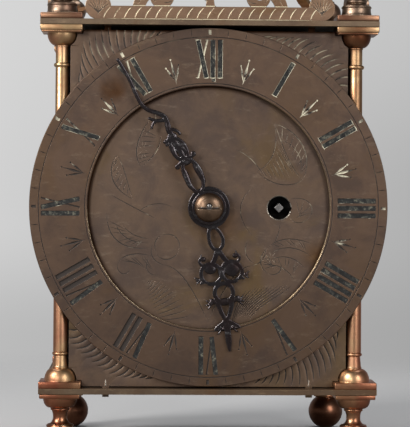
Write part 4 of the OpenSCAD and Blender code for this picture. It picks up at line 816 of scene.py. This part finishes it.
# Chapter ring: a flat brass ring on four feet that are pinned behind the dial plate. The numerals,
# the minute band and the half hour marks are cut into it; black wax fills the broad cuts.
ring_face = -79.8
ring_back = -77.8
inner_r = 60.5
outer_r = 89.5
minute_r = 84.9
ring_brass = worn_metal(
    "ring_brass", (0.192, 0.126, 0.090), (0.114, 0.079, 0.063), (0.165, 0.100, 0.056), (0.40, 0.31, 0.22),
    (0.35, 0.48), (50, 0.50, 0.26, 0.45), wear=0.15, arris=0.2)
rubbed_and_lit_edge = worn_metal(
    "rubbed_and_lit_edge", (0.52, 0.40, 0.25), (0.26, 0.19, 0.12), (0.24, 0.15, 0.08), (0.80, 0.68, 0.48),
    (0.24, 0.36), (60, 0.45, 0.3, 0.2))
ring_residue = cut_residue("ring_cut_residue", (0.60, 0.56, 0.43), (0.026, 0.018, 0.014), 0.09)
thin_residue = cut_residue("thin_cut_residue", (0.075, 0.055, 0.038), (0.022, 0.015, 0.012), 0.0)
tree = ring_brass.node_tree
place = add_node(tree, "TexCoord").outputs["Object"]
away = measured(tree, "DISTANCE", place, (-48.5 * mm, ring_face * mm, 187.5 * mm))
by_eleven = ranged(tree, away, 10.5 * mm, 2 * mm, ease="SMOOTHSTEP")
ragged = maths(tree, "MULTIPLY", by_eleven, noise(tree, place, 130.0, 4.0, 0.5))
shade_where(ring_brass, ramp(tree, ragged, [(0.10, 0.0), (0.55, 1.0)]), (0.66, 0.50, 0.36))

ring = bmesh.new()
section = [(inner_r, ring_back), (inner_r, ring_face + 0.4), (inner_r + 0.4, ring_face),
           (outer_r - 0.2, ring_face), (outer_r, ring_face + 0.2), (outer_r, ring_back)]
spun(ring, [(r * mm, y * mm, dial_z) for r, y in section], 240, True, (0, 1, 0), (0, 0, dial_z))
close_up(ring)
# Only the inner chamfer from just past twelve round to nine o'clock takes the bright edge metal: rubbed
# wear, and a painted highlight where the edge catches the light; at the upper left it stays dark.
for face in ring.faces:
    spot = face.calc_center_median() - Vector((0, 0, dial_z))
    around = math.degrees(math.atan2(spot.x, spot.z)) % 360
    inner_chamfer = -0.9 < face.normal.y < -0.3 and math.hypot(spot.x, spot.z) < 62 * mm
    if inner_chamfer and 22 < around < 268:
        face.material_index = 3

cuts = bmesh.new()
thin_cuts = bmesh.new()
wax_net = bmesh.new()


def on_ring(degrees, face_y=ring_face):
    """The place on the ring at an angle clockwise from twelve: x along the ring, y outwards."""
    a = math.radians(degrees)
    sides = Matrix((Vector((math.cos(a), 0, -math.sin(a))), Vector((math.sin(a), 0, math.cos(a))),
                    Vector((0, -1, 0))))
    place = sides.transposed().to_4x4()
    place.translation = Vector((0, face_y * mm, dial_z))
    return place @ Matrix.Scale(mm, 4)


def along(a, b):
    """The move that lays a stroke's own length from a to b."""
    lean = math.atan2(b[1] - a[1], b[0] - a[0]) - math.pi / 2
    middle = Vector(((a[0] + b[0]) / 2, (a[1] + b[1]) / 2, 0))
    return Matrix.Translation(middle) @ Matrix.Rotation(lean, 4, "Z")


def wedge(net, place, a, b, width, top, depth):
    """A bar from a to b with sloping sides, as wide as it says where it meets the surface."""
    made = bmesh.ops.create_cube(net, size=2)["verts"]
    for corner in made:
        rise = top if corner.co.z > 0 else -depth
        corner.co = (corner.co.x * (width / 2 + rise * 0.9),
                     corner.co.y * (math.dist(a, b) / 2 + rise * 0.9), rise)
    bmesh.ops.transform(net, matrix=place @ along(a, b), verts=made)


def chisel_bar(place, a, b, width, depth=0.5, filled=True):
    """A broad cut with sloping walls, and the wax that fills its floor."""
    wedge(cuts, place, a, b, width, 0.3, depth)
    if filled:
        wedge(wax_net, place, a, b, width, -0.16, depth)


def graver_nick(net, place, a, b, width, depth=0.3):
    """A short pointed cut from a to b."""
    made = bmesh.ops.create_uvsphere(net, u_segments=4, v_segments=2, radius=1)["verts"]
    size = Matrix.Diagonal((width / 2, math.dist(a, b) / 2, depth, 1))
    bmesh.ops.transform(net, matrix=place @ along(a, b) @ size, verts=made)


numerals = ("XII", "I", "II", "III", "IIII", "V", "VI", "VII", "VIII", "IX", "X", "XI")
lost_wax = (7, 8)
letter_widths = {"I": 3.7, "V": 6.9, "X": 6.7}
foot, head = 64.6, 83.4
for hour, numeral in enumerate(numerals):
    place = on_ring(30 * hour)
    x = -sum(letter_widths[letter] for letter in numeral) / 2
    for letter in numeral:
        middle = x + letter_widths[letter] / 2
        if letter == "I":
            chisel_bar(place, (middle, foot), (middle, head), 2.5, 0.5, hour not in lost_wax)
            serifs = ((-1.9, 1.9, foot, 0.7), (-1.9, 1.9, head, 0.7))
        else:
            low = 0 if letter == "V" else 2.1
            chisel_bar(place, (middle - 2.2, head), (middle + low, foot), 2.4)
            chisel_bar(place, (middle + 2.4, head), (middle - low, foot), 0.8, 0.32, False)
            serifs = ((-3.9, -0.4, head, 0.7), (1.2, 3.4, head, 0.6))
            if letter == "X":
                serifs += ((0.4, 3.6, foot, 0.7), (-3.4, -1.2, foot, 0.6))
        for left, right, y, width in serifs:
            graver_nick(cuts, place, (middle + left, y), (middle + right, y), width)
        x += letter_widths[letter]
    half_hour = on_ring(30 * hour + 15)
    graver_nick(cuts, half_hour, (0, 63.2), (0, 76.2), 1.3, 0.42)
    graver_nick(cuts, half_hour, (3.3, 72.6), (0.2, 65.0), 1.1, 0.38)
    graver_nick(cuts, half_hour, (-3.3, 72.6), (-0.2, 65.0), 1.1, 0.38)
    for x, y in ((0, 76.0), (3.3, 72.4), (-3.3, 72.4)):
        graver_nick(cuts, half_hour, (x, y - 0.55), (x, y + 0.55), 1.1, 0.35)
    chisel_bar(place, (0, 86.1), (0, 88.5), 1.4, 0.35, False)
chisel_bar(on_ring(1.8), (0, 62.7), (0, 64.4), 1.9, 0.5)
for minute in range(60):
    if minute % 5:
        graver_nick(thin_cuts, on_ring(6 * minute), (0, minute_r), (0, 89.3), 0.5, 0.28)
for radius in (61.9, minute_r):
    lozenge = [((radius + x) * mm, (ring_face + y) * mm, dial_z)
               for x, y in ((0.22, -0.01), (0, 0.2), (-0.22, -0.01), (0, -0.22))]
    spun(thin_cuts, lozenge, 240, True, (0, 1, 0), (0, 0, dial_z))
close_up(cuts)
close_up(thin_cuts)
ring_skins = (ring_brass, ring_residue, thin_residue, rubbed_and_lit_edge)
ring = take_away(ring, (cuts, thin_cuts), ring_skins)
post_at = 75 * mm
for degrees in (45, 135, 225, 315):
    a = math.radians(degrees)
    for r, length, y in ((2.7, 1.7, -77.05), (1.5, 6, -74.8)):
        peg = bmesh.ops.create_cone(ring, cap_ends=True, segments=24, radius1=r * mm, radius2=r * mm,
                                    depth=length * mm)["verts"]
        bmesh.ops.rotate(ring, cent=(0, 0, 0), matrix=Matrix.Rotation(math.pi / 2, 3, "X"), verts=peg)
        bmesh.ops.translate(ring, vec=(post_at * math.cos(a), y * mm, dial_z + post_at * math.sin(a)),
                            verts=peg)
chapter_ring = finish_piece(ring, "engraved_chapter_ring", ring_skins, "case", ["chapter_ring"], 16)

# Wax in the numerals: black engraver's wax, run hot into the broad cuts and rubbed down level. It is
# dull, cracked and crumbled, and has fallen out of some bars.
engraver_wax, tree = bare_material("engraver_wax")
crumbs = noise(tree, add_node(tree, "TexCoord").outputs["Object"], 420.0, 6.0, 0.7)
tone = ramp(tree, crumbs, [(0.40, (0.006, 0.006, 0.006)), (0.54, (0.022, 0.023, 0.022)),
                           (0.63, (0.12, 0.115, 0.085))])
lumps = add_node(tree, "Bump", {"Height": crumbs, "Strength": 0.5, "Distance": 0.2 * mm})
coat(tree, {"Base Color": tone, "Roughness": 0.7, "Specular IOR Level": 0.35, "Normal": lumps.outputs[0]})
numeral_wax = finish_piece(wax_net, "numeral_wax", [engraver_wax], "case")

# Hands: pierced and filed out of sheet steel, their bars rounded over and let down to a dark blue,
# now mostly brown, with bright worn arrises.
blued_steel = worn_metal(
    "blued_steel", (0.070, 0.062, 0.066), (0.042, 0.033, 0.035), (0.060, 0.036, 0.032), (0.55, 0.55, 0.57),
    (0.20, 0.34), (150, 0.5, 0.4, 0.35), wear=0.9)


def filed_hand(name, node_name, body, degrees, leaves, swell, trims, bent):
    """The sheet hand with its bars filed round, from the CAD hand's own outline.

    leaves are left solid inside its loops: place across and along the hand, half width and half
    length, and lean in degrees. swell is how far the bars are wider than the CAD's. trims are the
    boxes in which its curls are filed away: middle across and along, half width and half length.
    bent is how far it is bent aside at each place along it. The rim of its eye is filed in by 0.9 mm.
    """
    net = merged_copy(node_name)
    low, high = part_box(node_name)
    lay = on_ring(degrees, (low.y + high.y) / 2 / mm)
    if trims:
        nicks = bmesh.new()
        for x, y, wide, long in trims:
            nick = bmesh.ops.create_cube(nicks, size=2)["verts"]
            shape = lay @ Matrix.Translation((x, y, 0)) @ Matrix.Diagonal((wide, long, 3, 1))
            bmesh.ops.transform(nicks, matrix=shape, verts=nick)
        net = take_away(net, [nicks], (blued_steel, blued_steel))
    for x, y, wide, long, lean in leaves:
        leaf = bmesh.ops.create_uvsphere(net, u_segments=20, v_segments=12, radius=1)["verts"]
        shape = Matrix.Rotation(math.radians(-lean), 4, "Z") @ Matrix.Diagonal((wide, long, 0.62, 1))
        bmesh.ops.transform(net, matrix=lay @ Matrix.Translation((x, y, 0)) @ shape, verts=leaf)
    blank = placed("rough", mesh_of("rough", net))
    skin = blank.modifiers.new("skin", "REMESH")
    skin.mode = "VOXEL"
    skin.voxel_size = 0.17 * mm
    file_marks = blank.modifiers.new("file", "SMOOTH")
    file_marks.factor = 0.5
    file_marks.iterations = 5
    fuller = blank.modifiers.new("fuller", "DISPLACE")
    fuller.strength = swell * mm
    fuller.mid_level = 0
    filed = worked(blank)
    discard(blank)
    flat = lay.inverted()
    for vert in filed.verts:
        spot = flat @ vert.co
        reach = math.hypot(spot.x, spot.y)
        if 7 < reach < 17:
            tuck = 1 - 0.9 * min(1, (reach - 7) / 3, (17 - reach) / 5) / reach
            spot.x *= tuck
            spot.y *= tuck
        for (a, aside), (b, further) in zip(bent, bent[1:]):
            if a <= spot.y < b:
                spot.x += aside + (further - aside) * (spot.y - a) / (b - a)
                vert.co = lay @ spot
                break
    for face in filed.faces:
        face.material_index = 0
    piece = finish_piece(filed, name, [blued_steel], body, [node_name], 60)


hour_leaves = [(0, 33, 1.7, 3.4, 0), (5.3, 30.2, 3.2, 2.9, 20), (-5.3, 31.4, 3.9, 4.2, -15),
               (0, 47.6, 4.0, 1.9, 0), (0, 59.4, 2.4, 2.6, 0)]
hour_trims = []
for side in (-1, 1):
    hour_trims += [(x * side, y, wide, long) for x, y, wide, long in (
        (11.0, 41.2, 3.4, 3.6), (9.6, 51.4, 3.4, 2.9), (7.0, 64.2, 3.2, 2.7), (9.2, 22.6, 2.6, 1.6))]
    hour_leaves += [(x * side, y, wide, long, lean * side) for x, y, wide, long, lean in (
        (8.0, 25.4, 1.3, 1.1, 0), (12.0, 35.4, 1.25, 1.0, 0), (12.6, 34.6, 1.5, 0.35, 30),
        (12.2, 36.6, 1.4, 0.35, -30), (8.9, 23.8, 0.35, 1.3, 20), (9.4, 25.6, 1.2, 0.35, 0),
        (5.4, 47.0, 2.6, 1.2, 30), (7.4, 47.9, 1.4, 0.9, 0), (8.3, 46.7, 1.6, 0.38, 40),
        (8.6, 48.2, 1.5, 0.38, 0), (8.0, 49.4, 1.5, 0.38, -45), (3.2, 60.9, 1.6, 1.0, 0),
        (4.4, 60.0, 1.5, 0.38, 40), (4.6, 61.3, 1.5, 0.38, 0), (4.2, 62.6, 1.4, 0.38, -45))]
hour_bent = [(-20, 0), (7, 0), (16, -1.6), (33, -2.3), (48, -2.2), (61, -1.8), (80, -1.5)]
minute_bent = [(-20, 0), (8, 0), (17, 1.3), (25, 1.9), (34, 2.0), (44, 1.5), (53, 1.8), (61, 1.5),
               (69, 0.6), (95, 0.7)]
minute_leaves = [(-2.9, 18.5, 1.4, 5.5, 6), (3.9, 17.5, 1.4, 5.6, -6), (0.6, 25.8, 3.6, 2.1, 10),
                 (2.7, 31.5, 1.2, 4.6, -8), (-1.9, 33.0, 1.0, 4.4, 8), (1.2, 39.3, 2.5, 2.2, 0),
                 (-2.6, 39.2, 1.2, 0.8, 0), (2.4, 44.5, 1.3, 4.4, 18)]
filed_hand("filed_hour_hand", "hour_hand", "hour_work", 172.6, hour_leaves, 0.1, hour_trims, hour_bent)
filed_hand("filed_minute_hand", "minute_hand", "centre_work", 327.5, minute_leaves, 0.26, [], minute_bent)

# Collet: a domed brass cap over the hands, gone brown, slotted for the steel pin through the centre
# arbor. The arbor's end stands in a hole in its middle.
collet_seat = -84.45
arbor_z = dial_z + 0.7 * mm
collet_brass = worn_metal(
    "collet_brass", (0.22, 0.142, 0.095), (0.12, 0.078, 0.052), (0.11, 0.060, 0.032), (0.55, 0.43, 0.31),
    (0.30, 0.40), (160, 0.5, 0.4, 0.3))


def lay_forward(net, y, z):
    """Turns upright work so that it points to the front, and sets its foot at that place."""
    bmesh.ops.rotate(net, cent=(0, 0, 0), matrix=Matrix.Rotation(math.pi / 2, 3, "X"), verts=net.verts)
    bmesh.ops.translate(net, vec=(0, y * mm, z), verts=net.verts)


collet = bmesh.new()
turn_up(collet, [(7.0, 0.0), (7.3, 0.25)] + dome(7.3, 0.6, 1.0, 3.95, 16)[1:])
lay_forward(collet, collet_seat, dial_z)
close_up(collet)
slot_net = bmesh.new()
bmesh.ops.create_cube(slot_net, size=1)
bmesh.ops.scale(slot_net, vec=(11.5 * mm, 2.4 * mm, 0.95 * mm), verts=slot_net.verts)
bmesh.ops.translate(slot_net, vec=(0, -88.0 * mm, dial_z - 0.5 * mm), verts=slot_net.verts)
bore_net = bmesh.new()
bmesh.ops.create_cone(bore_net, cap_ends=True, segments=40, radius1=1.5 * mm, radius2=1.5 * mm,
                      depth=3 * mm, matrix=Matrix.Rotation(math.pi / 2, 4, "X"))
bmesh.ops.translate(bore_net, vec=(0, -87.6 * mm, arbor_z), verts=bore_net.verts)
collet = take_away(collet, (slot_net, bore_net), (collet_brass, collet_brass, collet_brass))
for face in collet.faces:
    face.material_index = 0
hand_collet = finish_piece(collet, "domed_hand_collet", [collet_brass], "centre_work", ["hand_collet"])

arbor_end = bmesh.new()
turn_up(arbor_end, [(1.25, 0.0), (1.25, 1.0)] + dome(1.25, 1.0, 0.3, 1.7, 6)[1:], 32)
lay_forward(arbor_end, -86.65, arbor_z)
arbor_tip = finish_piece(arbor_end, "rounded_arbor_end", [grey_steel], "centre_work")

# Frets: three pierced brass plates on the top plate, sawn out as pairs of dolphins between leaf
# shells, engraved with a gadrooned band, scales and veins, and screwed down by small lugs.
fret_face = -81.75
fret_brass = worn_metal(
    "fret_brass", (0.35, 0.220, 0.145), (0.22, 0.140, 0.095), (0.21, 0.11, 0.05), (0.62, 0.47, 0.30),
    (0.34, 0.46), (60, 0.5, 0.3, 0.3))
band_residue = cut_residue("band_cut_residue", (0.70, 0.62, 0.44), (0.20, 0.15, 0.09), 0.16)
fret_residue = cut_residue("fret_cut_residue", (0.26, 0.20, 0.14), (0.06, 0.04, 0.028), 0.0)
band = []
for i in range(21):
    x = -53 + 5.15 * i
    band += strokes((x, 0.7, x + 0.5, 2.6, x + 1.6, 4.6, x + 3.4, 6.0, 0.46, 8))
band += strokes((-51, 6.9, -20, 6.9, 20, 6.9, 51, 6.9, 0.42, 30),
                (-51, 0.35, -20, 0.35, 20, 0.35, 51, 0.35, 0.3, 30))
dolphin = strokes(
    (52, 9, 49, 24, 30, 27, 21, 15, 0.4, 14), (36, 7, 34, 13, 29, 16, 19, 12, 0.4, 10),
    (29.5, 8.2, 32, 10.5, 32, 14.0, 29, 16.8, 0.5, 8), (27.0, 8.4, 29, 10.5, 29, 13.4, 27, 15.6, 0.4, 8),
    (18.5, 9.6, 20, 8.6, 21.5, 8.3, 23, 8.4, 0.45, 6), (20, 19, 15, 29, 10, 25, 4, 29, 0.4, 10),
    (39, 22, 37, 28, 31, 31, 26, 29, 0.35, 8))
for x, z in bend((50.5, 11), (48, 24), (32, 26), (24, 18), 8):
    dolphin += strokes((x + 2.4, z + 1.2, x + 1, z + 2.4, x - 1, z + 1.8, x - 1.4, z - 0.4, 0.38, 6))
shell_x = 55.6
shell = []
for i in range(8):
    a = math.radians(12 + 22 * i)
    shell += strokes((shell_x - 0.66 * math.cos(a), 2.4, shell_x + 1.6 * math.cos(a), 4.6,
                      shell_x + 3.8 * math.cos(a), 6.4 + 1.8 * math.sin(a),
                      shell_x + 5.6 * math.cos(a), 6.4 + 5.4 * math.sin(a), 0.42, 7))
leaf = strokes((0.01, 25, 0.01, 28, 0.01, 32, 0.01, 36.6, 0.45, 6),
               (5.4, 17.5, 5.4, 20.6, 3.2, 22.6, 0, 22.7, 0.35, 6),
               (5.4, 17.5, 5.4, 14.4, 3.2, 12.4, 0, 12.3, 0.35, 6))
for z in (25.5, 28, 30.5, 33):
    leaf += strokes((0.3, z, 1.2, z + 0.7, 2.0, z + 1.6, 2.6, z + 2.6, 0.38, 5))
fret_skins = (fret_brass, band_residue, fret_residue)
fret_saws = [graver_cuts(lines, 0.6, fret_face, deck_z)
             for lines in (band, two_sided(dolphin + shell + leaf))]
cut_fret = take_away(scored_blank("front_fret"), fret_saws, fret_skins)
for name, node_name, degrees in (("engraved_front_fret", "front_fret", 0),
                                 ("engraved_left_fret", "left_fret", 270),
                                 ("engraved_right_fret", "right_fret", 90)):
    plate = cut_fret.copy()
    bmesh.ops.rotate(plate, cent=(0, 0, 0), matrix=Matrix.Rotation(math.radians(degrees), 3, "Z"),
                     verts=plate.verts)
    fret = finish_piece(plate, name, fret_skins, "case", [node_name], 14)

# Bell: cast in bell metal and turned, with a flared lip and turned lines. It
# hangs on a steel stud and is held by a nut on the inside of its crown.
bell_r = 62
bell_h = 47
lip_z = 261.9
bell_wall = 2.4
crown_z = lip_z + bell_h
bell_metal = worn_metal(
    "bell_metal", (0.50, 0.42, 0.27), (0.34, 0.27, 0.17), (0.22, 0.16, 0.09), (0.78, 0.70, 0.50),
    (0.28, 0.44), (40, 0.5, 0.35, 0.25), turned=True)


def bell_side(r, top_z):
    """Outer or inner line of the bell from its lip to its crown."""
    waist_z = lip_z + 0.3 * bell_h
    skirt = bend((r, lip_z), (r - 2.5, lip_z + 4), (r - 3.5, lip_z + 9), (r - 4.5, waist_z), 12)
    crown = [((r - 4.5) * math.cos(a), waist_z + (top_z - waist_z) * math.sin(a)) for a in turns(0, 90, 28)]
    return skirt + crown[1:-1]


def lined(side, heights):
    """The side with shallow turned lines at these heights."""
    done = list(side)
    for height in heights:
        for i, ((r0, z0), (r1, z1)) in enumerate(zip(done, done[1:])):
            if z0 <= height < z1:
                r = r0 + (r1 - r0) * (height - z0) / (z1 - z0)
                done[i + 1:i + 1] = [(r, height), (r - 0.3, height + 0.25), (r - 0.1, height + 0.5)]
                break
    return sorted(done, key=lambda point: point[1])


outer = lined(bell_side(bell_r, crown_z), (264.9, 266.2, 279.5, 280.8, 296.0))
inner = bell_side(bell_r - bell_wall, crown_z - bell_wall)
bore = [(2.05, crown_z - 0.05), (2.05, crown_z - bell_wall)]
bell_net = bmesh.new()
spun(bell_net, [(r * mm, 0, z * mm) for r, z in outer + bore + inner[::-1]], 144, True)
bell = finish_piece(bell_net, "turned_bell", [bell_metal], "case", ["bell"], 40)

# Bell strap and top finial: a forged brass cross, its four arms bent down to the corner finials and
# pinned into them. The turned finial is screwed onto the bell's stud above the strap.
dress(turned_brass, "bell_strap")
top_z = 319.9
top_foot = [(9.5, top_z), (9.5, top_z + 1.4)] + cove(9.5, top_z + 1.4, 4.3, top_z + 9.6)
top = bmesh.new()
turn_up(top, finial(top_z, 9.5, 48, top_foot), 96)
top_finial = finish_piece(top, "turned_top_finial", [turned_brass], "case", ["top_finial"])
